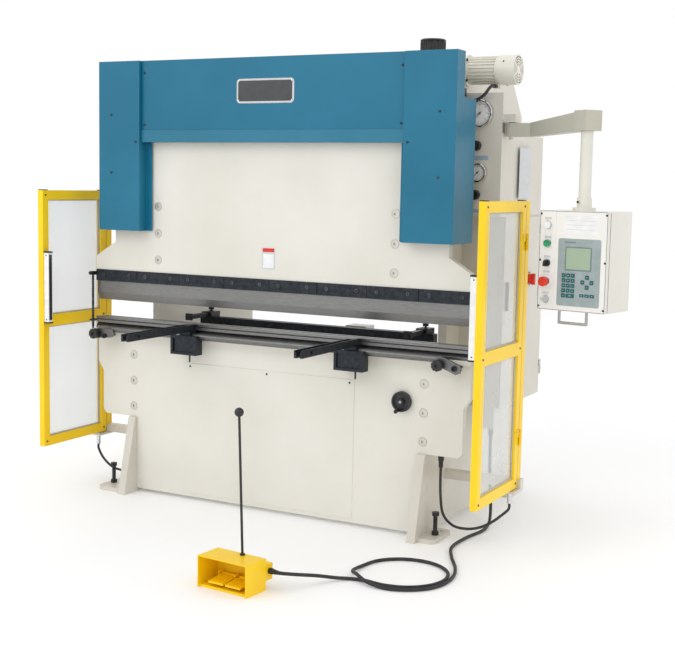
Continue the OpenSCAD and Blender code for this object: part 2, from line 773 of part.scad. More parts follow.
module key_switch() {
    color("silver") {
        face_control(43, 14, 8, 2);
        at_pendant() translate([button_u, -pendant_d / 2 - 20, 43]) rotate([90, -30, 0])
            translate([-1.5, -8, 0]) cube([3, 16, 26]);
    }
}

// ---- guards --------------------------------------------------------------------------------

module guard_frame() {
    x = [guard_x - stile[0] / 2, guard_x + stile[0] / 2];
    d = [-255, hinge_d - 2.5];
    color("gold") {
        block(x, [d[0], d[0] + stile[1]], [guard_z0, guard_z1]);
        block(x, [d[1] - stile[1], d[1]], [guard_z0, guard_z1]);
        for (z = [guard_z0, 820, guard_z1 - 45])
            block(x, [d[0] + stile[1], d[1] - stile[1]], [z, z + (z == 820 ? 56 : 45)]);
    }
    color("black") for (e = [d[0], d[1] - stile[1]])
        block([x[0] + 2, x[1] - 2], [e + 2, e + stile[1] - 2], [guard_z1, guard_z1 + 4]);
    color("black") for (z = hinge_zs) bore_knuckle(hinge_x, hinge_d, z, 6)
        block([x[1], x[1] + 3.5], [hinge_d - 32.5, hinge_d - 2], [z + 35 + clr, z + 70]);
}

module guard_panels() {
    d = [-255 + stile[1], hinge_d - 2.5 - stile[1]];
    color("lightgray") {
        block([guard_x - 2, guard_x + 2], d, [guard_z0 + 45, 820]);
        block([guard_x - 2, guard_x + 2], d, [876, guard_z1 - 45]);
    }
}

module light_curtain() {
    x = guard_x - stile[0] / 2;
    color("white") block([x - 28, x], [-250, -222], [845, 1180]);
    color("black") for (z = [838, 1180]) block([x - 30, x], [-252, -220], [z, z + 7]);
}

module left_guard_frame() {
    mirror([1, 0, 0]) guard_frame();
}

module right_guard_frame() {
    guard_frame();
}

module left_guard_panels() {
    mirror([1, 0, 0]) guard_panels();
}

module right_guard_panels() {
    guard_panels();
}

module left_light_curtain() {
    mirror([1, 0, 0]) light_curtain();
}

module right_light_curtain() {
    light_curtain();
}

module guard_posts() {
    x = [guard_x - stile[0] / 2, guard_x + stile[0] / 2];
    d = [hinge_d + 2.5, hinge_d + 42.5];
    bar_z = [guard_z0 - 5, guard_z0 + 35];
    color("gold") both_sides() block(x, d, [bar_z[1], guard_z1]);
    color("black") both_sides() for (z = hinge_zs) {
        pin_knuckle(hinge_x, hinge_d, z, 6);
        block([x[1], x[1] + 3.5], [hinge_d + 2, hinge_d + 32.5], [z, z + 35]);
    }
    color("beige") both_sides() {
        block([side_x, guard_x + 30], d, bar_z);
        difference() {
            block([guard_x - 30, guard_x + 30], [150, d[1]], [bar_z[0] - 10, bar_z[0]]);
            along_z(guard_x, 175, [bar_z[0] - 11, bar_z[0] + 1], 8 + clr / 2);
        }
    }
}

// ---- back gauge, supports and handwheel ----------------------------------------------------

module gauge_beam() {
    d = gauge_beam_d;
    color("black") difference() {
        union() {
            block([-650, 650], [d, d + 50], [800, 850]);
            both_sides() block([gauge_guide_x - 45, gauge_guide_x + 45], [d - 30, d + 80], [762 + clr, 800]);
            both_sides() block([gauge_guide_x - 45, gauge_guide_x - 13], [d - 30, d + 80], [746, 763]);
            both_sides() block([gauge_guide_x + 13, gauge_guide_x + 45], [d - 30, d + 80], [746, 763]);
            block([-40, 40], [d - 5, d + 55], [730, 800]);
        }
        along_y(0, [d - 6, d + 56], 757, 11);
    }
    color("dimgray") both_sides() {
        difference() {
            block([570, 630], [d - 20, d + 60], [850, 876]);
            along_z(600, d + 25, [849, 877], 6);
        }
        block([585, 615], [d - 170, d - 20], [852, 872]);
        block([580, 620], [d - 176, d - 170], [846, 880]);
        along_z(600, d + 25, [850, 900], 5.5);
        along_z(600, d + 25, [884, 898], 14);
    }
}

module gauge_screw() {
    color("silver") {
        along_y(0, [96, 978], 757, 10);
        along_y(0, [960, 978], 757, 17);
    }
}

// Flat link between two points in X and Z, in front of the rail's end
module rail_link(a, b) {
    front_plate([rail_d - 24, rail_d - 12]) hull() {
        translate(a) circle(22, $fn = 32);
        translate(b) circle(24, $fn = 8);
    }
}

module front_rail() {
    color("gray") {
        along_x([-872, 900], rail_d, rail_z, rail_r);
        rail_link([884, 800], [957, 771]);
        rail_link([-868, 790], [-948, 784]);
        for (x = [-900, 950]) along_y(x, [rail_d - 24, bed_d[0]], 774, 7.9);
    }
    color("dimgray") for (x = [-900, 950]) difference() {
        along_y(x, [rail_d - 32, rail_d - 24], 774, 12);
        translate([x, depth(rail_d - 33), 774]) rotate([-90, 0, 0]) cylinder(h = 6, r = 6, $fn = 6);
    }
    color("black") difference() {
        block([-1026, -half], [-20, 20], [838, 846]);
        along_z(-1014, -8, [837, 847], 8);
    }
}

module star_knob(x) {
    color("black") difference() {
        along_y(x, [rail_d - 54, rail_d - 30], 784, 25);
        for (a = [0 : 36 : 324]) translate([x, depth(rail_d - 55), 784]) rotate([-90, 0, 0])
            rotate(a) translate([27, 0, 0]) cylinder(h = 27, r = 4.5);
        along_y(x, [rail_d - 55, rail_d - 47], 784, 9);
    }
    color("silver") along_y(x, [rail_d - 30, rail_d - 24 - clr], 784, 9);
}

module left_star_knob() {
    star_knob(-950);
}

module right_star_knob() {
    star_knob(880);
}

// Sheet support: a bracket that slides on the front rail and an arm that reaches to the front
module support_arm(x) {
    color("black") difference() {
        union() {
            block([x - 30, x + 30], [rail_d - 30, rail_d + 26], [rail_z - 30, rail_z + 24]);
            block([x - 72, x + 72], [rail_d - 44, rail_d - 30], [722, 812]);
            for (s = [-1, 1]) block([x + s * 66 - 6, x + s * 66 + 6], [rail_d - 44, rail_d + 10], [722, 812]);
        }
        along_x([x - 90, x + 90], rail_d, rail_z, rail_r + clr);
        block([x - 59, x + 59], [rail_d - 45, rail_d - 36], [734, 800]);
    }
    color("dimgray") {
        along_z(x + 34, rail_d - 37, [690, 722], 4);
        difference() {
            block([x - 20, x + 20], [-520, -11], [rail_z + 24, die_top]);
            block([x - 14, x + 14], [-521, -60], [rail_z + 56 - 8, die_top + 1]);
            block([x - 8, x + 8], [-521, -480], [rail_z + 23, die_top + 1]);
        }
        along_x([x - 26, x + 26], -440, rail_z + 40, 7);
    }
}

module left_support_arm() {
    support_arm(arm_x[0]);
}

module right_support_arm() {
    support_arm(arm_x[1]);
}

module handwheel() {
    x = wheel[0];
    z = wheel[1];
    color("black") {
        difference() {
            along_y(x, [-8, 10], z, 45);
            difference() {
                along_y(x, [-9, -2], z, 36);
                along_y(x, [-10, 0], z, 17);
            }
        }
        along_y(x, [9, bed_d[1] + 20], z, 10);
        along_y(x - 6, [-44, -2], z - 38, 6);
        translate([x - 6, depth(-44), z - 38]) sphere(9);
    }
    color("silver") along_y(x, [-14, -8], z, 14);
}

// ---- foot pedal ----------------------------------------------------------------------------

module at_pedal() {
    translate([pedal_at[0], depth(pedal_at[1]), 0]) rotate(pedal_turn) children();
}

module pedal_housing() {
    w = pedal_w;
    color("gold") at_pedal() difference() {
        union() {
            translate([-w / 2, -62, 0]) cube([w, 124, 125]);
            translate([w / 2 - 74, 62, 34]) cube([70, 46, 64]);
        }
        translate([-w / 2 + 4, -63, -1]) cube([w - 8, 121, 122]);
        translate([w / 2 - 71, 61, 37]) cube([64, 44, 58]);
        translate([w / 2 - 8, 88, pedal_box_z]) rotate([0, 90, 0]) cylinder(h = 10, r = 9);
        translate([20, 40, 118]) cylinder(h = 10, r = 5.5);
    }
    color("goldenrod") at_pedal() difference() {
        union() {
            translate([-w / 2 + 4, -50, 0]) cube([w - 8, 108, 10]);
            for (x = [-84, -2.5, 79]) translate([x, 20, 10]) cube([5, 30, 40]);
        }
        translate([-95, 42, 34]) rotate([0, 90, 0]) cylinder(h = 190, r = 4);
    }
}

module pedal(x) {
    color("yellow") at_pedal() translate([x, 42, 34]) difference() {
        union() {
            rotate([6, 0, 0]) translate([-36, -88, -4]) cube([72, 90, 8]);
            for (k = [-24 : 12 : 24]) rotate([6, 0, 0])
                translate([k - 1.5, -84, 3]) cube([3, 60, 2.5]);
            translate([-35, 0, 0]) rotate([0, 90, 0]) cylinder(h = 70, r = 8);
        }
        translate([-37, 0, 0]) rotate([0, 90, 0]) cylinder(h = 74, r = 4 + clr);
    }
}

module left_pedal() {
    pedal(-41);
}

module right_pedal() {
    pedal(41);
}

module carry_rod() {
    lean = -2.4;
    color("black") at_pedal() {
        translate([20, 40, 122]) rotate([0, lean, 0]) {
            cylinder(h = 540, r = 5);
            translate([0, 0, 553]) sphere(18);
        }
        translate([20, 40, 125]) cylinder(h = 7, r = 10);
        translate([-84, 42, 34]) rotate([0, 90, 0]) cylinder(h = 168, r = 3.9);
    }
}

// ---- cables --------------------------------------------------------------------------------

module pedal_cable() {
    color("black") tube(pedal_route, cable_r, 2, 8);
}

module right_guard_cable() {
    color("black") tube(right_route, 6, 2, 8);
}

module left_guard_cable() {
    color("black") tube(left_route, 6, 2, 8);
}

module cable_glands() {
    color("black") {
        along_z(862, 35, [322, 352], 10);
        along_z(862, 35, [352, wing_z], 13);
        along_z(862, 35, [wing_z, wing_z + 24], 8.5);
        along_z(930, 450, [400, 440], 12);
        block([side_x, 832], [240, 274], [1928, 1962]);
        along_z(815, 257, [1908, 1928], 11);
        along_y(945, [308, motor_d - 18], 1973, 9);
        along_x([-813, -side_x], 200, 90, 13);
        along_x([-side_x, -side_in], 200, 90, 9.5);
        at_pedal() translate([pedal_w / 2 - 8, 88, pedal_box_z]) rotate([0, 90, 0]) {
            cylinder(h = 5, r = 8.5);
            translate([0, 0, 4]) cylinder(h = 12, r = 12);
        }
        tube(motor_route, cable_r, 2, 8);
    }
    color("silver") both_sides() {
        along_z(guard_x, 175, [169, guard_z0 - 15], 11);
        along_z(guard_x, 175, [guard_z0 - 15, guard_z0 - 6], 8);
    }
}

side_plates();
bed_plate();
die_block();
frame_fasteners();
rear_frame();
oil_tank();
left_cover();
right_cover();
centre_cover();
cylinder_barrels();
motor_housing();
hydraulic_block();
side_enclosure();
pressure_gauges();
electrical_cabinet();
guard_posts();
front_rail();
pedal_housing();
carry_rod();
pedal_cable();
right_guard_cable();
left_guard_cable();
cable_glands();
ram_plate();
ram_screws();
punch_clamps();
punch();
piston_rods();
scale_rod();
torsion_shaft();
motor_rotor();
large_needle();
small_needle();
upper_valve_knob();
lower_valve_knob();
cabinet_door();
main_switch();
pendant_arm();
pendant_post();
pendant_box();
white_button();
start_button();
mode_selector();
stop_button();
key_switch();
left_guard_frame();
right_guard_frame();
left_guard_panels();
right_guard_panels();
left_light_curtain();
right_light_curtain();
gauge_beam();
gauge_screw();
left_star_knob();
right_star_knob();
left_support_arm();
right_support_arm();
handwheel();
left_pedal();
right_pedal();
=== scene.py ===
"""Looks of the sheet metal brake: camera, light, cables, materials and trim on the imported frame."""
import json
import math

import bmesh
import bpy
from mathutils import Matrix, Vector


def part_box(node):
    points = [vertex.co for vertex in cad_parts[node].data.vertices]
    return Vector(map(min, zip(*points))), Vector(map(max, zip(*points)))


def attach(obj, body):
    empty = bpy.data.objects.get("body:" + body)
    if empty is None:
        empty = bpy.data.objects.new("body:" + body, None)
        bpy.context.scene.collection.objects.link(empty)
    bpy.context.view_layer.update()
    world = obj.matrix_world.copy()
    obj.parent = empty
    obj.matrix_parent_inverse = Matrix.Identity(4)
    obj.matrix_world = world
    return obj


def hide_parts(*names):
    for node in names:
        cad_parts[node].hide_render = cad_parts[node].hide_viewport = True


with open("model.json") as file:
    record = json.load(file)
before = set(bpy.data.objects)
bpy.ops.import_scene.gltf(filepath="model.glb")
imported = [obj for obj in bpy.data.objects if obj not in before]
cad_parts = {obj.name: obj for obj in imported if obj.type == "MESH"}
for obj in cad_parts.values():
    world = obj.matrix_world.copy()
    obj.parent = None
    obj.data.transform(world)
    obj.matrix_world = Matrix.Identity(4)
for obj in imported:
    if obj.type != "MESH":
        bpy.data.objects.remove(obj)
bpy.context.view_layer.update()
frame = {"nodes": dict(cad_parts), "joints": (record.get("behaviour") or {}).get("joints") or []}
NODES = frame["nodes"]
JOINTS = {joint["name"]: joint for joint in frame["joints"]}
UP = Vector((0, 0, 1))
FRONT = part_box("punch_clamps")[0].y
INTO = Vector(JOINTS["start_press"]["axis"]).normalized()
POST = Vector(JOINTS["pendant_swivel"]["pos_m"])
PENDANT_FACE = 0.085  # from the post's middle to the pendant's front
PANEL_THICK = 0.022  # depth of the pendant's front panel


def depth(mm):
    """Y of a place that lies mm behind the front of the punch clamps."""
    return FRONT + mm / 1000


# ---- camera, light and floor ---------------------------------------------------------------


def make_camera():
    """Camera at the photograph's place, turned by its fitted angles."""
    yaw, pitch, roll = (math.radians(a) for a in (27.967, 6.539, 1.106))
    ahead = Vector((-math.sin(yaw) * math.cos(pitch), math.cos(yaw) * math.cos(pitch), -math.sin(pitch)))
    level = Vector((math.cos(yaw), math.sin(yaw), 0))
    above = level.cross(ahead)
    right = level * math.cos(roll) + above * math.sin(roll)
    up = above * math.cos(roll) - level * math.sin(roll)
    data = bpy.data.cameras.new("camera")
    data.lens = 65.44
    data.sensor_width = 36
    data.clip_end = 100
    camera = bpy.data.objects.new("camera", data)
    bpy.context.collection.objects.link(camera)
    camera.matrix_world = Matrix.Translation((2.9058, depth(-4796.2), 1.5386)) @ Matrix(
        (right, up, -ahead)).transposed().to_4x4()
    bpy.context.scene.camera = camera


def make_lamp(name, place, target, size, power):
    data = bpy.data.lights.new(name, "AREA")
    data.shape = "RECTANGLE"
    data.size, data.size_y = size
    data.energy = power
    lamp = bpy.data.objects.new(name, data)
    bpy.context.collection.objects.link(lamp)
    lamp.location = place
    lamp.rotation_euler = (Vector(target) - Vector(place)).to_track_quat("-Z", "Y").to_euler()


def make_studio():
    world = bpy.data.worlds.new("studio")
    world.use_nodes = True
    background = world.node_tree.nodes["Background"]
    background.inputs["Color"].default_value = (1.0, 1.0, 1.0, 1)
    background.inputs["Strength"].default_value = 1.0
    bpy.context.scene.world = world
    bpy.context.scene.view_settings.view_transform = "Standard"
    make_lamp("key", (-2.6, -5.2, 4.6), (0, 0, 0.9), (3.5, 2.5), 60)
    make_lamp("fill", (5.0, -3.6, 2.8), (0, 0, 1.0), (3.0, 3.0), 12)
    make_lamp("top", (0.4, 0.4, 5.5), (0, 0, 0), (5.0, 4.0), 10)


# ---- materials -----------------------------------------------------------------------------


class Finish:
    """A material whose colour, roughness and height come from noise in the object's own space."""

    def __init__(self, name, metallic=0.0):
        self.material = bpy.data.materials.new(name)
        self.material.use_nodes = True
        self.tree = self.material.node_tree
        self.shader = self.tree.nodes["Principled BSDF"]
        self.shader.inputs["Metallic"].default_value = metallic
        self.place = self.tree.nodes.new("ShaderNodeTexCoord").outputs["Object"]

    def noise(self, scale, stretch=(1, 1, 1), detail=3.0):
        mapping = self.tree.nodes.new("ShaderNodeMapping")
        mapping.inputs["Scale"].default_value = stretch
        texture = self.tree.nodes.new("ShaderNodeTexNoise")
        texture.inputs["Scale"].default_value = scale
        texture.inputs["Detail"].default_value = detail
        self.tree.links.new(self.place, mapping.inputs["Vector"])
        self.tree.links.new(mapping.outputs["Vector"], texture.inputs["Vector"])
        return texture.outputs["Fac"]

    def bands(self, scale, direction="X", distortion=0.0):
        wave = self.tree.nodes.new("ShaderNodeTexWave")
        wave.bands_direction = direction
        wave.inputs["Scale"].default_value = scale
        wave.inputs["Distortion"].default_value = distortion
        self.tree.links.new(self.place, wave.inputs["Vector"])
        return wave.outputs["Fac"]

    def colour(self, fac, low, high, edges=(0.35, 0.65)):
        ramp = self.tree.nodes.new("ShaderNodeValToRGB")
        for element, edge, value in zip(ramp.color_ramp.elements, edges, (low, high)):
            element.position = edge
            element.color = (*value, 1)
        self.tree.links.new(fac, ramp.inputs["Fac"])
        self.tree.links.new(ramp.outputs["Color"], self.shader.inputs["Base Color"])
        return self

    def rough(self, fac, low, high):
        spread = self.tree.nodes.new("ShaderNodeMapRange")
        spread.inputs["To Min"].default_value = low
        spread.inputs["To Max"].default_value = high
        self.tree.links.new(fac, spread.inputs["Value"])
        self.tree.links.new(spread.outputs["Result"], self.shader.inputs["Roughness"])
        return self

    def relief(self, *layers):
        """Each layer is (height, strength, distance in metres)."""
        last = None
        for height, strength, distance in layers:
            bump = self.tree.nodes.new("ShaderNodeBump")
            bump.inputs["Strength"].default_value = strength
            bump.inputs["Distance"].default_value = distance
            self.tree.links.new(height, bump.inputs["Height"])
            if last:
                self.tree.links.new(last, bump.inputs["Normal"])
            last = bump.outputs["Normal"]
        self.tree.links.new(last, self.shader.inputs["Normal"])
        return self

    def coat(self, weight, roughness):
        self.shader.inputs["Coat Weight"].default_value = weight
        self.shader.inputs["Coat Roughness"].default_value = roughness
        return self


def paint(name, low, high, shine=(0.3, 0.42)):
    """Sprayed enamel: faint cloudiness, orange peel and a thin clear coat."""
    made = Finish(name)
    made.colour(made.noise(2.5, detail=6), low, high)
    made.rough(made.noise(14), *shine)
    made.relief((made.noise(420, detail=2), 0.10, 0.0006), (made.noise(3.0), 0.03, 0.004))
    made.shader.inputs["Specular IOR Level"].default_value = 0.36
    return made.coat(0.08, 0.22).material


def ground_steel(name, low, high, stretch=(1, 40, 40), shine=(0.24, 0.42)):
    """Ground steel with fine scratches across the stretch."""
    made = Finish(name, metallic=1.0)
    grain = made.noise(38, stretch, detail=8)
    made.colour(grain, low, high)
    made.rough(grain, *shine)
    return made.relief((grain, 0.16, 0.0003), (made.noise(6), 0.05, 0.001)).material


def dark_metal(name, low, high, metallic=0.6, shine=(0.32, 0.55)):
    """Blackened steel, with a mottled oxide skin."""
    made = Finish(name, metallic=metallic)
    skin = made.noise(60, detail=6)
    made.colour(skin, low, high)
    made.rough(made.noise(22), *shine)
    return made.relief((made.noise(700), 0.12, 0.0003), (skin, 0.05, 0.0006)).material


def moulded(name, low, high, shine=(0.35, 0.5), grain=900):
    """Moulded plastic with a fine spark-eroded grain."""
    made = Finish(name)
    made.colour(made.noise(30, detail=4), low, high)
    made.rough(made.noise(80), *shine)
    return made.relief((made.noise(grain, detail=2), 0.14, 0.0003)).material


def rubber(name, low, high):
    made = Finish(name)
    made.colour(made.noise(25, detail=5), low, high)
    made.rough(made.noise(45), 0.42, 0.62)
    return made.relief((made.noise(500), 0.2, 0.0003), (made.noise(60), 0.1, 0.0006)).material


def clear(name, tone, alpha, roughness):
    made = Finish(name)
    made.colour(made.noise(4), [c * 0.96 for c in tone], tone)
    made.rough(made.noise(20), roughness, roughness + 0.06)
    made.shader.inputs["Alpha"].default_value = alpha
    made.shader.inputs["IOR"].default_value = 1.5
    made.relief((made.noise(5), 0.02, 0.002))
    return made.material


def screen_glass():
    made = Finish("screen")
    dots = made.bands(260, "Z")
    made.colour(dots, (0.30, 0.40, 0.28), (0.36, 0.47, 0.33))
    made.rough(made.noise(60), 0.12, 0.2)
    made.relief((dots, 0.03, 0.0002))
    return made.coat(0.6, 0.05).material


def floor_finish():
    made = Finish("floor")
    made.colour(made.noise(0.8), (0.93, 0.93, 0.93), (0.96, 0.96, 0.96))
    made.rough(made.noise(5), 0.55, 0.7)
    made.relief((made.noise(200), 0.03, 0.0005))
    made.shader.inputs["Emission Color"].default_value = (1, 1, 1, 1)
    made.shader.inputs["Emission Strength"].default_value = 0.06
    return made.material


CREAM = paint("cream_paint", (0.62, 0.59, 0.52), (0.68, 0.65, 0.58))
PENDANT_WHITE = paint("pendant_white", (0.79, 0.78, 0.75), (0.85, 0.84, 0.81))
IVORY = paint("ivory_paint", (0.70, 0.68, 0.61), (0.76, 0.74, 0.68))
GREY_PAINT = paint("grey_paint", (0.46, 0.48, 0.48), (0.54, 0.56, 0.56))
MOTOR_PAINT = paint("motor_paint", (0.74, 0.72, 0.64), (0.80, 0.78, 0.70))
# Pendant arm: its grey-beige paint, darkened further with painted shade
ARM_PAINT_AND_SHADE = paint("arm_paint_and_shade", (0.48, 0.46, 0.38), (0.54, 0.52, 0.44))
BLUE = paint("blue_paint", (0.005, 0.140, 0.238), (0.009, 0.165, 0.275), shine=(0.34, 0.42))
# Lighter blue for the centre cover's lip: a painted highlight, the sheen along that edge put into the
# colour
LIP_HIGHLIGHT_BLUE = paint("lip_highlight_blue_paint", (0.020, 0.165, 0.262), (0.028, 0.190, 0.295), shine=(0.34, 0.42))
YELLOW = paint("yellow_paint", (0.93, 0.60, 0.003), (1.0, 0.68, 0.006), shine=(0.30, 0.40))
BRIGHT_YELLOW = paint("bright_yellow_paint", (0.96, 0.61, 0.003), (1.0, 0.69, 0.006))
BLACK_PAINT = dark_metal("black_oxide", (0.016, 0.020, 0.027), (0.034, 0.040, 0.050))
SCREW_STEEL = ground_steel("screw_steel", (0.58, 0.56, 0.51), (0.74, 0.72, 0.66), (20, 20, 20),
                           (0.3, 0.42))
TOOL_STEEL = ground_steel("tool_steel", (0.16, 0.16, 0.158), (0.30, 0.298, 0.29))
PUNCH_STEEL = ground_steel("punch_steel", (0.20, 0.20, 0.197), (0.29, 0.29, 0.285), shine=(0.32, 0.48))
TURNED_STEEL = ground_steel("turned_steel", (0.30, 0.30, 0.30), (0.52, 0.52, 0.51), (30, 30, 30))
RAIL_STEEL = ground_steel("rail_steel", (0.13, 0.13, 0.13), (0.24, 0.24, 0.235), shine=(0.34, 0.5))
BOLT_STEEL = dark_metal("bolt_steel", (0.07, 0.075, 0.08), (0.13, 0.135, 0.14), 0.9, (0.28, 0.4))
CHROME = ground_steel("chrome", (0.62, 0.62, 0.63), (0.74, 0.74, 0.75), (4, 4, 4), (0.08, 0.16))
DARK_STEEL = dark_metal("dark_steel", (0.030, 0.030, 0.033), (0.075, 0.075, 0.08), 0.85)
BLACK_PLASTIC = moulded("black_plastic", (0.010, 0.010, 0.011), (0.022, 0.022, 0.024))
WHITE_PLASTIC = moulded("white_plastic", (0.78, 0.79, 0.80), (0.86, 0.87, 0.88), (0.25, 0.35))
GREEN_PLASTIC = moulded("green_plastic", (0.010, 0.26, 0.11), (0.016, 0.34, 0.15), (0.2, 0.3))
RED_PLASTIC = moulded("red_plastic", (0.60, 0.022, 0.008), (0.72, 0.035, 0.012), (0.2, 0.3))
YELLOW_PLASTIC = moulded("yellow_plastic", (0.85, 0.60, 0.01), (0.92, 0.68, 0.02))
TEAL_PLASTIC = moulded("teal_plastic", (0.002, 0.085, 0.095), (0.004, 0.12, 0.13), (0.3, 0.4))
MEMBRANE = moulded("membrane", (0.29, 0.35, 0.36), (0.34, 0.40, 0.41), (0.35, 0.45), 1400)
TEAL_GREY = moulded("screen_surround", (0.14, 0.20, 0.21), (0.18, 0.24, 0.25), (0.35, 0.45), 1400)
LABEL = moulded("label_film", (0.56, 0.58, 0.59), (0.62, 0.64, 0.65), (0.3, 0.4), 1600)
PALE_BLUE = moulded("pale_blue_film", (0.30, 0.40, 0.50), (0.38, 0.48, 0.58), (0.3, 0.4), 1600)
PLATE_GREY = moulded("plate_field", (0.045, 0.048, 0.052), (0.055, 0.058, 0.062), (0.4, 0.5))
DIAL_WHITE = moulded("dial_white", (0.82, 0.82, 0.80), (0.88, 0.88, 0.86), (0.4, 0.5), 1800)
RUBBER = rubber("cable_rubber", (0.010, 0.010, 0.011), (0.028, 0.028, 0.030))
PANEL = clear("guard_sheet", (0.84, 0.87, 0.88), 0.34, 0.20)
LENS = clear("gauge_glass", (0.9, 0.92, 0.93), 0.16, 0.03)
SCREEN = screen_glass()


# ---- mesh helpers --------------------------------------------------------------------------


def face_frame(origin, right, up):
    """Local axes of a face: x to its right, y up it and z out of it."""
    right, up = Vector(right).normalized(), Vector(up).normalized()
    turn = Matrix((right, up, right.cross(up))).transposed().to_4x4()
    return Matrix.Translation(origin) @ turn


def outline(width, height, radius, steps=5):
    """Rounded rectangle about the origin, anticlockwise."""
    points = []
    for k, (sx, sy) in enumerate(((1, -1), (1, 1), (-1, 1), (-1, -1))):
        cx, cy = sx * (width / 2 - radius), sy * (height / 2 - radius)
        for i in range(steps + 1):
            a = math.radians(-90 + 90 * k + 90 * i / steps)
            points.append((cx + radius * math.cos(a), cy + radius * math.sin(a)))
    return points


def plate(bm, place, size, thick, radius, index=0, soft=0.0004, back=0.0):
    """Rounded plate on a face, with a chamfered front edge."""
    width, height = size
    soft = min(soft, thick * 0.45)
    rings = []
    for inset, z in ((0, -back), (0, thick - soft), (soft, thick)):
        points = outline(width - 2 * inset, height - 2 * inset, max(radius - inset, 0.0001))
        rings.append([bm.verts.new(place @ Vector((x, y, z))) for x, y in points])
    faces = [bm.faces.new(rings[-1]), bm.faces.new(rings[0][::-1])]
    for low, high in zip(rings, rings[1:]):
        for i in range(len(low)):
            j = (i + 1) % len(low)
            faces.append(bm.faces.new((low[i], low[j], high[j], high[i])))
    for face in faces:
        face.material_index = index
    return faces


def lathe(bm, place, profile, sides=40, index=0):
    """Turned shape about the local z axis. The profile is a closed list of (radius, z)."""
    rings = []
    for radius, z in profile:
        if radius < 1e-6:
            rings.append([bm.verts.new(place @ Vector((0, 0, z)))])
            continue
        angles = (2 * math.pi * k / sides for k in range(sides))
        rings.append([bm.verts.new(place @ Vector((radius * math.cos(a), radius * math.sin(a), z)))
                      for a in angles])
    pairs = list(zip(rings, rings[1:]))
    if len(rings[0]) > 1 and len(rings[-1]) > 1:
        pairs.append((rings[-1], rings[0]))
    for low, high in pairs:
        for k in range(sides):
            n = (k + 1) % sides
            corners = []
            for ring, spot in ((low, k), (low, n), (high, n), (high, k)):
                vert = ring[spot % len(ring)]
                if vert not in corners:
                    corners.append(vert)
            if len(corners) > 2:
                bm.faces.new(corners).material_index = index


def piece(name, body, materials, build, smooth=35):
    """New mesh piece: build(bm) fills it, and it rides on the body."""
    bm = bmesh.new()
    build(bm)
    bmesh.ops.recalc_face_normals(bm, faces=bm.faces)
    mesh = bpy.data.meshes.new(name)
    bm.to_mesh(mesh)
    bm.free()
    for material in materials:
        mesh.materials.append(material)
    mesh.polygons.foreach_set("use_smooth", [True] * len(mesh.polygons))
    mesh.set_sharp_from_angle(angle=math.radians(smooth))
    made = bpy.data.objects.new(name, mesh)
    bpy.context.collection.objects.link(made)
    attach(made, body)
    return made


# ---- cables --------------------------------------------------------------------------------


def spline(p0, p1, p2, p3, t):
    return 0.5 * (2 * p1 + (p2 - p0) * t + (2 * p0 - 5 * p1 + 4 * p2 - p3) * t * t
                  + (3 * p1 - p0 - 3 * p2 + p3) * t * t * t)


def smooth_path(route, parts):
    """Route of (x, depth, z) in millimetres, as a smooth line in metres."""
    points = [Vector((x / 1000, depth(d), z / 1000)) for x, d, z in route]
    last = len(points) - 1
    path = []
    for i in range(last):
        four = [points[max(i - 1, 0)], points[i], points[i + 1], points[min(i + 2, last)]]
        path += [spline(*four, k / parts) for k in range(parts)]
    return path + [points[last]]


def tube(bm, path, radius, sides=12):
    """Tube along a path. The radius is a function of the distance along it."""
    ahead = (path[1] - path[0]).normalized()
    side = ahead.orthogonal().normalized()
    rings, gone = [], 0.0
    for i, point in enumerate(path):
        ahead = (path[min(i + 1, len(path) - 1)] - path[max(i - 1, 0)]).normalized()
        side = (side - ahead * side.dot(ahead)).normalized()
        other = ahead.cross(side)
        if i:
            gone += (point - path[i - 1]).length
        r = radius(gone)
        rings.append([bm.verts.new(point + r * (side * math.cos(a) + other * math.sin(a)))
                      for a in (2 * math.pi * k / sides for k in range(sides))])
    for low, high in zip(rings, rings[1:]):
        for k in range(sides):
            n = (k + 1) % sides
            bm.faces.new((low[k], low[n], high[n], high[k]))
    bm.faces.new(rings[0][::-1])
    bm.faces.new(rings[-1])


def resample(path, step):
    """The same line with points an even step apart."""
    out, left = [path[0]], step
    for a, b in zip(path, path[1:]):
        span = (b - a).length
        at = left
        while at < span:
            out.append(a.lerp(b, at / span))
            at += step
        left = at - span
    return out[:-1] + [path[-1]]


LOOP_CENTRE, LOOP_R, LIE = (935, -488), 178, 8


def loop_point(i):
    angle = math.radians(270 + 30 * i)
    return (LOOP_CENTRE[0] + LOOP_R * math.cos(angle), LOOP_CENTRE[1] + LOOP_R * math.sin(angle), LIE)


PEDAL_ROUTE = (
    [(582, -910, 70), (600, -912, 70), (622, -907, 68), (656, -862, 57), (700, -770, 34),
     (745, -700, 14),
     (790, -664, LIE), (850, -654, LIE)]
    + [loop_point(i) for i in range(10)]
    + [(762, -590, 16), (812, -650, 25), (880, -690, 15), (960, -696, LIE), (1040, -668, LIE),
       (1104, -605, LIE), (1130, -520, LIE), (1124, -425, LIE), (1088, -320, LIE),
       (1020, -196, LIE), (965, -60, LIE), (965, 100, LIE), (985, 240, LIE), (978, 340, 20),
       (956, 412, 80), (936, 444, 190), (930, 450, 310), (930, 450, 400)])
RIGHT_ROUTE = [
    (862, 35, 322), (862, 35, 280), (864, 36, 200), (876, 41, 116), (914, 60, 66), (968, 84, 52),
    (1018, 112, 58), (1062, 138, 80), (1100, 158, 112), (1128, 174, 142), (1130, 175, 168)]
LEFT_ROUTE = [
    (-1130, 175, 168), (-1129, 175, 142), (-1104, 182, 94), (-1056, 192, 52), (-996, 200, 38),
    (-926, 200, 46), (-866, 200, 72), (-832, 200, 89), (-813.5, 200, 90)]


def make_cable(name, node, route, radius, ribbed, step):
    path = resample(smooth_path(route, 16), step)

    def thickness(gone):
        return radius * (1 + 0.05 * math.sin(2 * math.pi * gone / 0.006)) if ribbed else radius

    made = piece(name, "frame", [RUBBER], lambda bm: tube(bm, path, thickness, 14), 60)
    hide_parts(node)


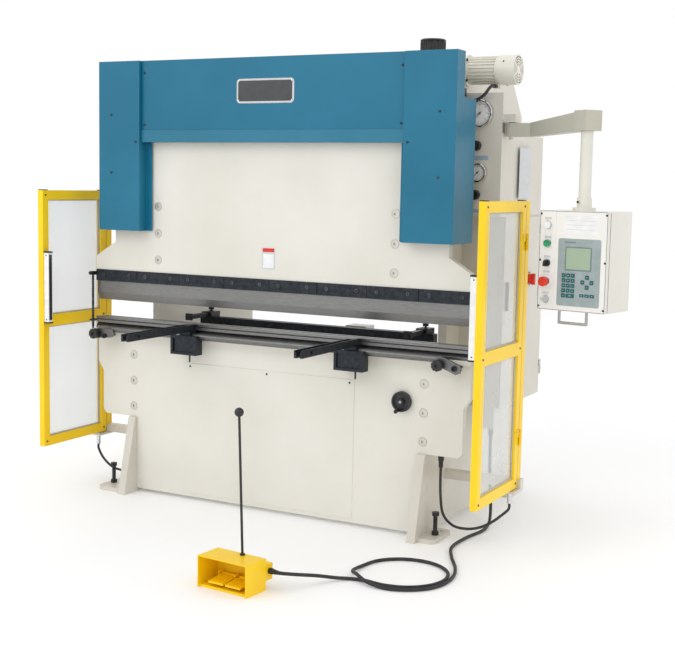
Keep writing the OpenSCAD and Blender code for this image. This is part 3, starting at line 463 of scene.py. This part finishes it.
make_camera()
make_cable("pedal_cord", "pedal_cable", PEDAL_ROUTE, 0.007, False, 0.012)
make_cable("right_guard_cord", "right_guard_cable", RIGHT_ROUTE, 0.006, True, 0.0015)
make_cable("left_guard_cord", "left_guard_cable", LEFT_ROUTE, 0.006, True, 0.0015)


# ---- materials and edges of the CAD nodes --------------------------------------------------



def bed_screw(c):
    """Whether a place is on one of the bed's six large screws."""
    return 0.35 < c.z < 0.76 and abs(c.x) > 0.7


def on_front_panel(c):
    """Whether a place is on the pendant's front panel."""
    return (POST - c).dot(INTO) > PENDANT_FACE - PANEL_THICK


GUARD_SPLIT = (YELLOW, (BLACK_PLASTIC, lambda c: c.z > 1.4795))
CURTAIN_SPLIT = (WHITE_PLASTIC, (BLACK_PLASTIC, lambda c: c.z < 0.8452 or c.z > 1.1798))
PLAIN = {
    "side_plates": CREAM, "bed_plate": IVORY, "ram_plate": IVORY, "die_block": TOOL_STEEL,
    "punch": PUNCH_STEEL, "punch_clamps": BLACK_PAINT, "piston_rods": CHROME,
    "left_cover": BLUE, "right_cover": BLUE, "cylinder_barrels": BLACK_PAINT,
    "motor_housing": MOTOR_PAINT, "motor_rotor": DARK_STEEL, "side_enclosure": CREAM,
    "electrical_cabinet": CREAM, "pressure_gauges": BLACK_PLASTIC, "torsion_shaft": DARK_STEEL,
    "large_needle": BLACK_PLASTIC, "small_needle": BLACK_PLASTIC,
    "upper_valve_knob": BLACK_PLASTIC, "lower_valve_knob": BLACK_PLASTIC, "scale_rod": DARK_STEEL,
    # The pendant arm's colour is its paint with painted shade in it
    "main_switch": RED_PLASTIC, "pendant_arm": ARM_PAINT_AND_SHADE,
    "white_button": WHITE_PLASTIC, "start_button": GREEN_PLASTIC, "mode_selector": BLACK_PLASTIC,
    "stop_button": RED_PLASTIC, "key_switch": CHROME, "left_guard_panels": PANEL,
    "right_guard_panels": PANEL, "gauge_screw": TURNED_STEEL, "left_star_knob": BLACK_PLASTIC,
    "right_star_knob": BLACK_PLASTIC, "left_support_arm": BLACK_PAINT,
    "right_support_arm": BLACK_PAINT, "left_pedal": BRIGHT_YELLOW, "right_pedal": BRIGHT_YELLOW,
    "carry_rod": BLACK_PLASTIC, "handwheel": BLACK_PLASTIC}

# Nodes of several finishes: the first holds unless a later test is met by a face's middle
SPLIT = {
    "rear_frame": (CREAM, (TURNED_STEEL, lambda c: 0.702 < c.z < 0.8)),
    # The lip of the centre cover gets the lighter blue as a painted highlight
    "centre_cover": (BLUE, (LIP_HIGHLIGHT_BLUE, lambda c: c.z < 1.7705 and c.y < depth(-45.5))),
    "ram_screws": (SCREW_STEEL, (BOLT_STEEL, lambda c: c.z < 1.09)),
    "frame_fasteners": (DARK_STEEL, (SCREW_STEEL, bed_screw)),
    "oil_tank": (CREAM, (BLACK_PLASTIC, lambda c: c.z > 2.083)),
    "electrical_cabinet": (CREAM, (CHROME, lambda c: c.y > depth(880.2))),
    "hydraulic_block": (BLACK_PAINT, (TURNED_STEEL, lambda c: c.y < depth(149) or abs(c.x) > 0.65)),
    "front_rail": (RAIL_STEEL, (BLACK_PAINT, lambda c: c.x < -1.0005 or c.y < depth(-60.5))),
    "guard_posts": (YELLOW, (CREAM, lambda c: c.z < 0.2662)),
    "left_guard_frame": GUARD_SPLIT, "right_guard_frame": GUARD_SPLIT,
    "left_light_curtain": CURTAIN_SPLIT, "right_light_curtain": CURTAIN_SPLIT,
    "gauge_beam": (BLACK_PAINT, (DARK_STEEL, lambda c: c.z > 0.8505)),
    "cabinet_door": (CREAM, (BLACK_PLASTIC, lambda c: c.x > 1.0046),
                     (CHROME, lambda c: c.y > depth(878.1) or c.x > 1.0042 and c.y > depth(869))),
    "pendant_post": (IVORY, (BLACK_PLASTIC, lambda c: 1.47 < c.z < 1.49 and c.y < depth(68.5))),
    "pendant_box": (IVORY, (PENDANT_WHITE, on_front_panel), (TURNED_STEEL, lambda c: c.z < 1.0399)),
    "cable_glands": (BLACK_PLASTIC, (CHROME, lambda c: abs(c.x) > 1.1)),
    "pedal_housing": (BRIGHT_YELLOW, (YELLOW, lambda c: c.z < 0.052 and c.y > depth(-1040)
                                      and abs(c.x - 0.447) < 0.11))}

# Width of the rounding on each node's edges, in millimetres
SOFTNESS = {
    "side_plates": 2.0, "bed_plate": 2.0, "ram_plate": 2.0, "left_cover": 1.3, "right_cover": 1.3,
    "centre_cover": 1.3, "die_block": 0.5, "punch": 0.4, "punch_clamps": 0.8, "pendant_arm": 4.0,
    "pendant_box": 2.5, "side_enclosure": 1.4, "electrical_cabinet": 1.4, "cabinet_door": 1.2,
    "oil_tank": 2.0, "rear_frame": 2.0, "guard_posts": 2.0, "left_guard_frame": 2.0,
    "right_guard_frame": 2.0, "left_support_arm": 1.2, "right_support_arm": 1.2,
    "gauge_beam": 1.2, "pedal_housing": 1.0, "main_switch": 1.5, "stop_button": 2.0,
    "white_button": 1.2, "start_button": 1.2, "mode_selector": 1.2, "handwheel": 1.5}
# Nodes that keep their edges as they are
SHARP = {"left_guard_panels", "right_guard_panels", "frame_fasteners", "ram_screws", "cable_glands",
         "large_needle", "small_needle", "motor_housing", "scale_rod"}
# Nodes whose coplanar triangles are joined before their edges are rounded
FLAT = {"ram_plate", "bed_plate"}


def dress_node(name):
    """Give a CAD node its materials, and rounded edges unless it keeps them as they are."""
    node = NODES[name]
    mesh = node.data
    mesh.materials.clear()
    if name in PLAIN:
        mesh.materials.append(PLAIN[name])
    else:
        first, *others = SPLIT[name]
        mesh.materials.append(first)
        for index, (material, test) in enumerate(others, 1):
            mesh.materials.append(material)
            for polygon in mesh.polygons:
                if test(polygon.center):
                    polygon.material_index = index
    if name in SHARP:
        return
    weld = node.modifiers.new("weld", "WELD")
    weld.merge_threshold = 0.00001
    if name in FLAT:
        flat = node.modifiers.new("flat", "DECIMATE")
        flat.decimate_type = "DISSOLVE"
        flat.angle_limit = math.radians(1)
    edge = node.modifiers.new("edge", "BEVEL")
    edge.width = SOFTNESS.get(name, 0.6) / 1000
    edge.segments = 2
    edge.limit_method = "ANGLE"
    edge.angle_limit = math.radians(35)
    node.modifiers.new("shade", "WEIGHTED_NORMAL").keep_sharp = True


for node_name in NODES:
    if not NODES[node_name].hide_render:
        dress_node(node_name)


# ---- trim ----------------------------------------------------------------------------------


def front_face(x, y, z):
    """Face frame that looks to the front of the machine."""
    return face_frame((x, y, z), (1, 0, 0), UP)


def right_face(x, y, z):
    """Face frame that looks to the machine's right."""
    return face_frame((x, y, z), (0, 1, 0), UP)


def screw_head(bm, place, radius, height, index=0):
    """Round screw head with a hollow socket."""
    socket = radius * 0.45
    lathe(bm, place, [(radius, 0), (radius, height * 0.6), (radius * 0.8, height),
                      (socket, height), (socket, height * 0.35), (0, height * 0.35)], 24, index)


COVER_LIP = 0.003  # how far the centre cover's lip stands in front of its sheet
TABLE_EDGE = 0.021  # how far the table's edge stands in front of the bed's face


def name_plate(bm):
    """Blank plate on the centre cover, with a rim and four rivets."""
    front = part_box("centre_cover")[0].y + COVER_LIP
    place = front_face(-0.005, front, 1.9435)
    plate(bm, place, (0.300, 0.110), 0.0020, 0.018, 0, 0.0008)
    plate(bm, place @ Matrix.Translation((0, 0, 0.0020)), (0.282, 0.092), 0.0006, 0.012, 1)
    for x in (-0.139, 0.139):
        for y in (-0.044, 0.044):
            lathe(bm, place @ Matrix.Translation((x, y, 0.0020)),
                  [(0.0042, 0), (0.0036, 0.0012), (0.0018, 0.0020), (0, 0.0022)], 20, 2)


def ram_label(bm):
    """Blank label on the ram: a film with a red strip and a white field."""
    place = front_face(-0.0075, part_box("ram_plate")[0].y, 1.191)
    plate(bm, place, (0.071, 0.100), 0.0006, 0.004, 0)
    plate(bm, place @ Matrix.Translation((0, 0.038, 0.0006)), (0.062, 0.017), 0.0003, 0.003, 1)
    plate(bm, place @ Matrix.Translation((0, -0.012, 0.0006)), (0.056, 0.064), 0.0002, 0.003, 2)


def die_groove_shade(bm):
    """Dark strips painted along the front of the die as the shade in its groove, with a ground band
    between them.
    """
    low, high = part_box("die_block")
    middle, length = (low.x + high.x) / 2, high.x - low.x - 0.004
    for z, tall, thick, index in ((0.8485, 0.0030, 0.0004, 0), (0.8385, 0.0130, 0.0012, 1),
                                  (0.8225, 0.0030, 0.0004, 0)):
        plate(bm, front_face(middle, low.y, z), (length, tall), thick, 0.0002, index, 0.0003)


def bed_panel(bm):
    """Thin cover sheet on the front of the bed."""
    place = front_face(-0.012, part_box("bed_plate")[0].y + TABLE_EDGE, 0.352)
    plate(bm, place, (0.910, 0.636), 0.0022, 0.006, 0, 0.0012)


GAUGE_RECESS = 0.0090  # depth of the gauges' recess


def gauge_dial(bm, place, radius):
    """Dial face with ticks, bezel and hub, from the recess's floor outwards."""
    lathe(bm, place, [(radius - 0.0052, 0), (radius - 0.0052, 0.0008), (0, 0.0008), (0, 0)], 48, 0)
    for k in range(31):
        a = math.radians(225 - 9 * k)
        long = 0.20 if k % 5 == 0 else 0.10
        r = radius * (0.80 - long / 2)
        turn = Matrix.Rotation(a - math.pi / 2, 4, "Z")
        spot = place @ Matrix.Translation((r * math.cos(a), r * math.sin(a), 0.0008)) @ turn
        plate(bm, spot, (0.0012 if k % 5 else 0.0020, radius * long), 0.0003, 0.0002, 1, 0.0001)
    lathe(bm, place, [(0.0036, 0.0006), (0.0036, 0.0062), (0.0026, 0.0068), (0, 0.0068), (0, 0.0006)],
          24, 1)
    lathe(bm, place, [(radius - 0.0052, 0.0082), (radius - 0.003, 0.0112), (radius, 0.0112),
                      (radius + 0.0022, 0.0086), (radius + 0.0022, -0.012), (radius, -0.012),
                      (radius, 0.0082)], 56, 2)


def gauge_trim(name, joint, radius):
    where = JOINTS[joint]["pos_m"]
    place = front_face(where[0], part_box("pressure_gauges")[0].y + GAUGE_RECESS, where[2])
    piece(name + "_dial", "frame", [DIAL_WHITE, BLACK_PLASTIC, CHROME],
          lambda bm: gauge_dial(bm, place, radius))
    piece(name + "_glass", "frame", [LENS],
          lambda bm: lathe(bm, place, [(radius - 0.0054, 0.0074), (radius - 0.0054, 0.0084),
                                       (radius * 0.6, 0.0090), (0, 0.0092), (0, 0.0082)], 48))


def panel_labels(bm):
    """Blank plates beside the gauges and valves."""
    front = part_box("side_enclosure")[0].y
    for x, z, size, index in ((0.898, 1.661, (0.084, 0.020), 0), (0.898, 1.429, (0.110, 0.016), 0),
                              (0.898, 1.928, (0.120, 0.014), 1)):
        plate(bm, front_face(x, front, z), size, 0.0008, 0.003, index)


def side_label(bm):
    """Blank sheet on the enclosure's side."""
    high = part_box("electrical_cabinet")[1]
    plate(bm, right_face(high.x, depth(560), 1.600), (0.150, 0.230), 0.0005, 0.004, 0)


DOOR_HINGE_Z = (0.640, 1.250)  # undersides of the cabinet door's hinges


def cabinet_trim(bm):
    """Seal round the cabinet's door, in the gap behind it, and screws on the hinge leaves."""
    place = right_face(1.0000, depth(615), 0.975)
    for u, v, size in ((0, 0.4245, (0.524, 0.003)), (0, -0.4245, (0.524, 0.003)),
                       (-0.2610, 0, (0.002, 0.846)), (0.2610, 0, (0.002, 0.846))):
        plate(bm, place @ Matrix.Translation((u, v, 0.0002)), size, 0.0006, 0.0008, 0, 0.0001)
    for z in DOOR_HINGE_Z:
        for v in (0.045, 0.060):
            screw_head(bm, right_face(1.0045, depth(874.5), z + v), 0.0030, 0.0014, 1)


def switch_plate(bm):
    """Ring round the main switch."""
    place = right_face(*(Vector(JOINTS["main_switch_turn"]["pos_m"]) - Vector((0.0028, 0, 0))))
    points = [(0.0245, 0), (0.0295, 0), (0.0295, 0.0012), (0.0285, 0.0016), (0.0245, 0.0016)]
    lathe(bm, place, points, 40, 0)


def motor_trim(bm):
    """Flange bolts and fan cover screws on the motor."""
    spin = Vector(JOINTS["rotor_spin"]["pos_m"])
    low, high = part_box("motor_housing")
    for k in range(4):
        a = math.radians(45 + 90 * k)
        place = Matrix.Translation((low.x + 0.014, spin.y + 0.063 * math.cos(a),
                                    spin.z + 0.063 * math.sin(a))) @ Matrix.Rotation(math.pi / 2, 4, "Y")
        screw_head(bm, place, 0.0065, 0.005, 0)
    for k in range(3):
        a = math.radians(30 + 120 * k)
        spot = Vector((high.x - 0.05, spin.y + 0.0645 * math.cos(a), spin.z + 0.0645 * math.sin(a)))
        out = Vector((0, math.cos(a), math.sin(a)))
        screw_head(bm, face_frame(spot, (1, 0, 0), out.cross(Vector((1, 0, 0)))), 0.0035, 0.003, 0)


def breather_trim(bm):
    """Ribs and domed top of the tank's breather."""
    x, y, top = 0.632, depth(350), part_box("oil_tank")[1].z
    place = Matrix.Translation((x, y, top - 0.004))
    lathe(bm, place, [(0.0565, 0), (0.0575, 0.001), (0.0575, 0.004), (0.052, 0.008), (0.030, 0.010),
                      (0, 0.0105), (0, 0)], 56, 0)
    ribs = 28
    for k in range(ribs):
        a = 2 * math.pi * k / ribs
        spot = (x + 0.0560 * math.cos(a), y + 0.0560 * math.sin(a), top - 0.032)
        place = face_frame(spot, (-math.sin(a), math.cos(a), 0), UP)
        plate(bm, place, (0.0062, 0.050), 0.0014, 0.0025, 0, 0.0006)
    foot = Matrix.Translation((x, y, top - 0.092))
    lathe(bm, foot, [(0.0565, 0), (0.0580, 0.001), (0.0580, 0.010), (0.0565, 0.012)], 56, 1)


# ---- guards --------------------------------------------------------------------------------

GUARD_OUT = 1.145  # outer face of the guards' profiles
GUARD_SCREW_Z = (0.2535, 0.848, 1.4565)  # middles of the rails
HINGE_Z = (0.420, 1.270)  # undersides of a guard's hinges
LEAF = 0.0035  # thickness of a hinge's leaf
GUARD_WINDOWS = ((0.276, 0.820), (0.876, 1.434))  # lowest and highest points of the clear panels


def guard_gaskets(side):
    """Dark gasket round each clear panel."""
    low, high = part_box("right_guard_panels")
    middle = side * (low.x + high.x) / 2

    def build(bm):
        for z0, z1 in GUARD_WINDOWS:
            for face in (-1, 1):
                x = middle + face * 0.0020
                place = face_frame((x, (low.y + high.y) / 2, (z0 + z1) / 2), (0, face, 0), UP)
                width, tall = high.y - low.y, z1 - z0
                for u, v, size in ((0, tall / 2 - 0.003, (width, 0.006)),
                                   (0, 0.003 - tall / 2, (width, 0.006)),
                                   (width / 2 - 0.003, 0, (0.006, tall - 0.012)),
                                   (0.003 - width / 2, 0, (0.006, tall - 0.012))):
                    plate(bm, place @ Matrix.Translation((u, v, 0)), size, 0.0022, 0.001, 0, 0.0008)
    return build


def guard_joins(side):
    """Screws at the corners of the guard's profiles, on its outer and inner faces."""
    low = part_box("right_guard_frame")[0]

    def build(bm):
        for z in GUARD_SCREW_Z:
            for y in (low.y + 0.02, depth(200)):
                for x, out in ((GUARD_OUT, 1), (low.x, -1)):
                    place = face_frame((side * x, y, z), (0, out * side, 0), UP)
                    screw_head(bm, place, 0.0050, 0.0022, 0)
    return build


def hinge_screws(side, way, up):
    """Screws on the hinges' leaves: way is 1 behind the hinge line and -1 in front of it."""
    where = JOINTS["right_guard_swing"]["pos_m"]

    def build(bm):
        for z in HINGE_Z:
            for v in (-0.009, 0.009):
                for u in (0.010, 0.024):
                    spot = (side * (GUARD_OUT + LEAF), where[1] + way * u, z + up + v)
                    place = face_frame(spot, (0, side, 0), UP)
                    screw_head(bm, place, 0.0034, 0.0015, 0)
    return build


def curtain_window(side):
    """Dark window and status lamp of the light curtain, on its inner face."""
    low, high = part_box("right_light_curtain")

    def build(bm):
        place = face_frame((side * (low.x + 0.002), (low.y + high.y) / 2, (low.z + high.z) / 2),
                           (0, -side, 0), UP)
        plate(bm, place, (0.020, 0.316), 0.0012, 0.002, 0, 0.0005)
        plate(bm, place @ Matrix.Translation((0, 0.146, 0.0012)), (0.008, 0.004), 0.0004, 0.001, 1)
        for v in (-0.155, 0.155):
            front = front_face(side * (low.x + 0.016), low.y + 0.0018, 1.0125 + v)
            screw_head(bm, front, 0.003, 0.0016, 0)
    return build


def dress_guards():
    for side, word in ((-1, "left"), (1, "right")):
        body = word + "_guard"
        piece(word + "_gaskets", body, [GREY_PAINT], guard_gaskets(side))
        piece(word + "_guard_screws", body, [DARK_STEEL], guard_joins(side))
        piece(word + "_post_screws", "frame", [CHROME], hinge_screws(side, 1, 0.0175))
        piece(word + "_leaf_screws", body, [CHROME], hinge_screws(side, -1, 0.0525))
        piece(word + "_curtain_window", body, [BLACK_PLASTIC, GREEN_PLASTIC], curtain_window(side))


# ---- pendant -------------------------------------------------------------------------------

PENDANT_Z = 1.040  # underside of the pendant's box
BUTTON_U = -0.114  # line of the buttons across the pendant
STOP_V = 0.117  # height of the stop button above the box's underside
CONTROLS_V = (0.043, 0.192, 0.272, 0.347)  # heights of the other controls


def on_pendant(u, v, w=0.0):
    """Place on the pendant's front: u to the right of the post, v above the box's underside."""
    origin = POST - INTO * (PENDANT_FACE + w)
    right = INTO.cross(UP)
    origin = origin + right * u
    return face_frame((origin.x, origin.y, PENDANT_Z + v), right, UP)


def pendant_front(bm):
    """Membrane, screen, bezel and the blank header strip."""
    plate(bm, on_pendant(0.0315, 0.1585), (0.191, 0.273), 0.0010, 0.008, 0)
    plate(bm, on_pendant(0.0285, 0.2145, 0.0010), (0.118, 0.096), 0.0012, 0.005, 1, 0.0006)
    plate(bm, on_pendant(0.0285, 0.2145, 0.0022), (0.108, 0.086), 0.0004, 0.002, 2)
    plate(bm, on_pendant(-0.010, 0.280, 0.0010), (0.050, 0.005), 0.0003, 0.001, 1, 0.0001)
    plate(bm, on_pendant(0.035, 0.350), (0.150, 0.075), 0.0006, 0.003, 3)
    for v in (0.368, 0.350, 0.332):
        plate(bm, on_pendant(0.035, v, 0.0006), (0.130, 0.0015), 0.0002, 0.0006, 4, 0.0001)


def key_cap(bm, u, v, size, index=0):
    plate(bm, on_pendant(u, v, 0.0010), size, 0.0018, 0.0022, index, 0.0007)
    plate(bm, on_pendant(u, v, 0.0028), (size[0] * 0.3, 0.0012), 0.0002, 0.0005, 1, 0.0001)


def pendant_keys(bm):
    """Number block, arrow cross and the row of function keys."""
    for row in range(4):
        for column in range(3):
            key_cap(bm, -0.034 + 0.0205 * column, 0.146 - 0.0205 * row, (0.0175, 0.0165))
    key_cap(bm, -0.034, 0.064, (0.0175, 0.0165))
    key_cap(bm, -0.0033, 0.064, (0.038, 0.0165))
    for u, v in ((0, 0.020), (0, -0.020), (-0.020, 0), (0.020, 0)):
        key_cap(bm, 0.071 + u, 0.122 + v, (0.0170, 0.0165))
    for u in (0.049, 0.072, 0.095):
        key_cap(bm, u, 0.068, (0.0195, 0.0125))


def control_trim(bm):
    """Bezels, the stop button's pale disc, blank plates and edge screws."""
    for v in CONTROLS_V:
        lathe(bm, on_pendant(BUTTON_U, v), [(0.0146, 0), (0.0178, 0), (0.0178, 0.0010),
                                            (0.0168, 0.0019), (0.0146, 0.0019)], 40, 0)
    lathe(bm, on_pendant(BUTTON_U, STOP_V), [(0.0136, 0), (0.0245, 0), (0.0245, 0.0008),
                                            (0.0239, 0.0012), (0.0136, 0.0012)], 48, 1)
    lathe(bm, on_pendant(BUTTON_U, STOP_V, 0.0012), [(0.0136, 0), (0.0170, 0), (0.0170, 0.0022),
                                                    (0.0160, 0.0030), (0.0136, 0.0030)], 40, 0)
    for v in (0.070, 0.157, 0.218, 0.298, 0.374):
        plate(bm, on_pendant(BUTTON_U, v), (0.030, 0.009), 0.0006, 0.002, 2)
    for u in (-0.146, 0.146):
        for v in (0.014, 0.203, 0.392):
            screw_head(bm, on_pendant(u, v), 0.0042, 0.0022, 3)


def pendant_seams(bm):
    """Rubber seam round the front panel, and the two hinge barrels at its left edge."""
    for u, v, size in ((0, 0.4035, (0.300, 0.0016)), (0, 0.0025, (0.300, 0.0016)),
                       (-0.1505, 0.203, (0.0016, 0.400)), (0.1505, 0.203, (0.0016, 0.400))):
        plate(bm, on_pendant(u, v), size, 0.0005, 0.0006, 0, 0.0001)
    low, high = -0.153, 0.153
    right = INTO.cross(UP)
    for u, face in ((low - 0.0002, -right), (high + 0.0002, right)):
        origin = POST - INTO * (PENDANT_FACE - PANEL_THICK) + right * u
        place = face_frame((origin.x, origin.y, PENDANT_Z + 0.203), UP.cross(face), UP)
        plate(bm, place, (0.0022, 0.398), 0.0004, 0.0006, 0, 0.0001)
    for v in (0.075, 0.330):
        origin = POST - INTO * (PENDANT_FACE - 0.010) + right * (low - 0.0022)
        place = Matrix.Translation((origin.x, origin.y, PENDANT_Z + v - 0.02))
        lathe(bm, place, [(0, 0), (0.0035, 0), (0.0042, 0.0008), (0.0042, 0.0392), (0.0035, 0.040),
                          (0, 0.040)], 20, 1)


def dress_pendant():
    piece("pendant_front", "pendant", [MEMBRANE, TEAL_GREY, SCREEN, WHITE_PLASTIC, LABEL],
          pendant_front)
    piece("pendant_keys", "pendant", [TEAL_PLASTIC, WHITE_PLASTIC], pendant_keys)
    piece("control_trim", "pendant", [CHROME, WHITE_PLASTIC, LABEL, DARK_STEEL], control_trim)
    piece("pendant_seams", "pendant", [BLACK_PLASTIC, CHROME], pendant_seams)


def handwheel_marks(bm):
    """Scale ring with bright ticks, and the bright end of the spindle, on the handwheel."""
    where = JOINTS["handwheel_turn"]["pos_m"]
    place = front_face(where[0], depth(-8), where[2])
    lathe(bm, place, [(0.0405, 0), (0.0440, 0), (0.0440, 0.0004), (0.0436, 0.0006),
                      (0.0405, 0.0006)], 56, 0)
    lathe(bm, place @ Matrix.Translation((0, 0, 0.006)),
          [(0.0065, 0), (0.0065, 0.0012), (0.0050, 0.0022), (0, 0.0024), (0, 0)], 32, 2)
    for k in range(30):
        a = math.radians(12 * k)
        spot = place @ Matrix.Translation((0.0422 * math.cos(a), 0.0422 * math.sin(a), 0.0006))
        plate(bm, spot @ Matrix.Rotation(a, 4, "Z"), (0.0026, 0.0007), 0.0002, 0.0002, 1, 0.0001)


def pedal_gland(bm):
    """Tapered sleeve where the cable leaves the pedal's box."""
    path = smooth_path(PEDAL_ROUTE[:3], 24)
    start, ahead = path[0], (path[2] - path[0]).normalized()
    place = face_frame(start, ahead.orthogonal(), ahead.cross(ahead.orthogonal()))
    profile = [(0.0115, -0.002), (0.0115, 0.004)]
    for k in range(6):
        profile += [(0.0105 - 0.0005 * k, 0.005 + 0.005 * k), (0.0096 - 0.0005 * k, 0.0066 + 0.005 * k)]
    profile += [(0.0074, 0.036), (0.0060, 0.036), (0.0060, -0.002)]
    lathe(bm, place, profile, 24, 0)


def dress_details():
    piece("name_plate", "frame", [CHROME, PLATE_GREY, CHROME], name_plate)
    piece("ram_label", "ram", [LABEL, RED_PLASTIC, WHITE_PLASTIC], ram_label)
    # Painted groove shade on the die's front
    piece("die_groove_shade", "frame", [DARK_STEEL, PUNCH_STEEL], die_groove_shade)
    piece("bed_panel", "frame", [IVORY], bed_panel)
    gauge_trim("large_gauge", "large_needle_turn", 0.057)
    gauge_trim("small_gauge", "small_needle_turn", 0.039)
    piece("panel_labels", "frame", [PALE_BLUE, LABEL], panel_labels)
    piece("side_label", "frame", [LABEL], side_label)
    piece("cabinet_seal", "door", [BLACK_PLASTIC, DARK_STEEL], cabinet_trim)
    piece("switch_ring", "door", [YELLOW_PLASTIC], switch_plate)
    piece("motor_screws", "frame", [DARK_STEEL], motor_trim)
    piece("breather_cap", "frame", [BLACK_PLASTIC, CHROME], breather_trim)
    piece("handwheel_scale", "wheel", [BLACK_PAINT, TURNED_STEEL, TURNED_STEEL], handwheel_marks)
    piece("pedal_sleeve", "frame", [BLACK_PLASTIC], pedal_gland)


def make_floor():
    mesh = bpy.data.meshes.new("floor")
    size = 30
    mesh.from_pydata([(-size, -size, 0), (size, -size, 0), (size, size, 0), (-size, size, 0)], [],
                     [(0, 1, 2, 3)])
    mesh.materials.append(floor_finish())
    floor = bpy.data.objects.new("floor", mesh)
    bpy.context.collection.objects.link(floor)


make_studio()
make_floor()
dress_details()
dress_guards()
dress_pendant()
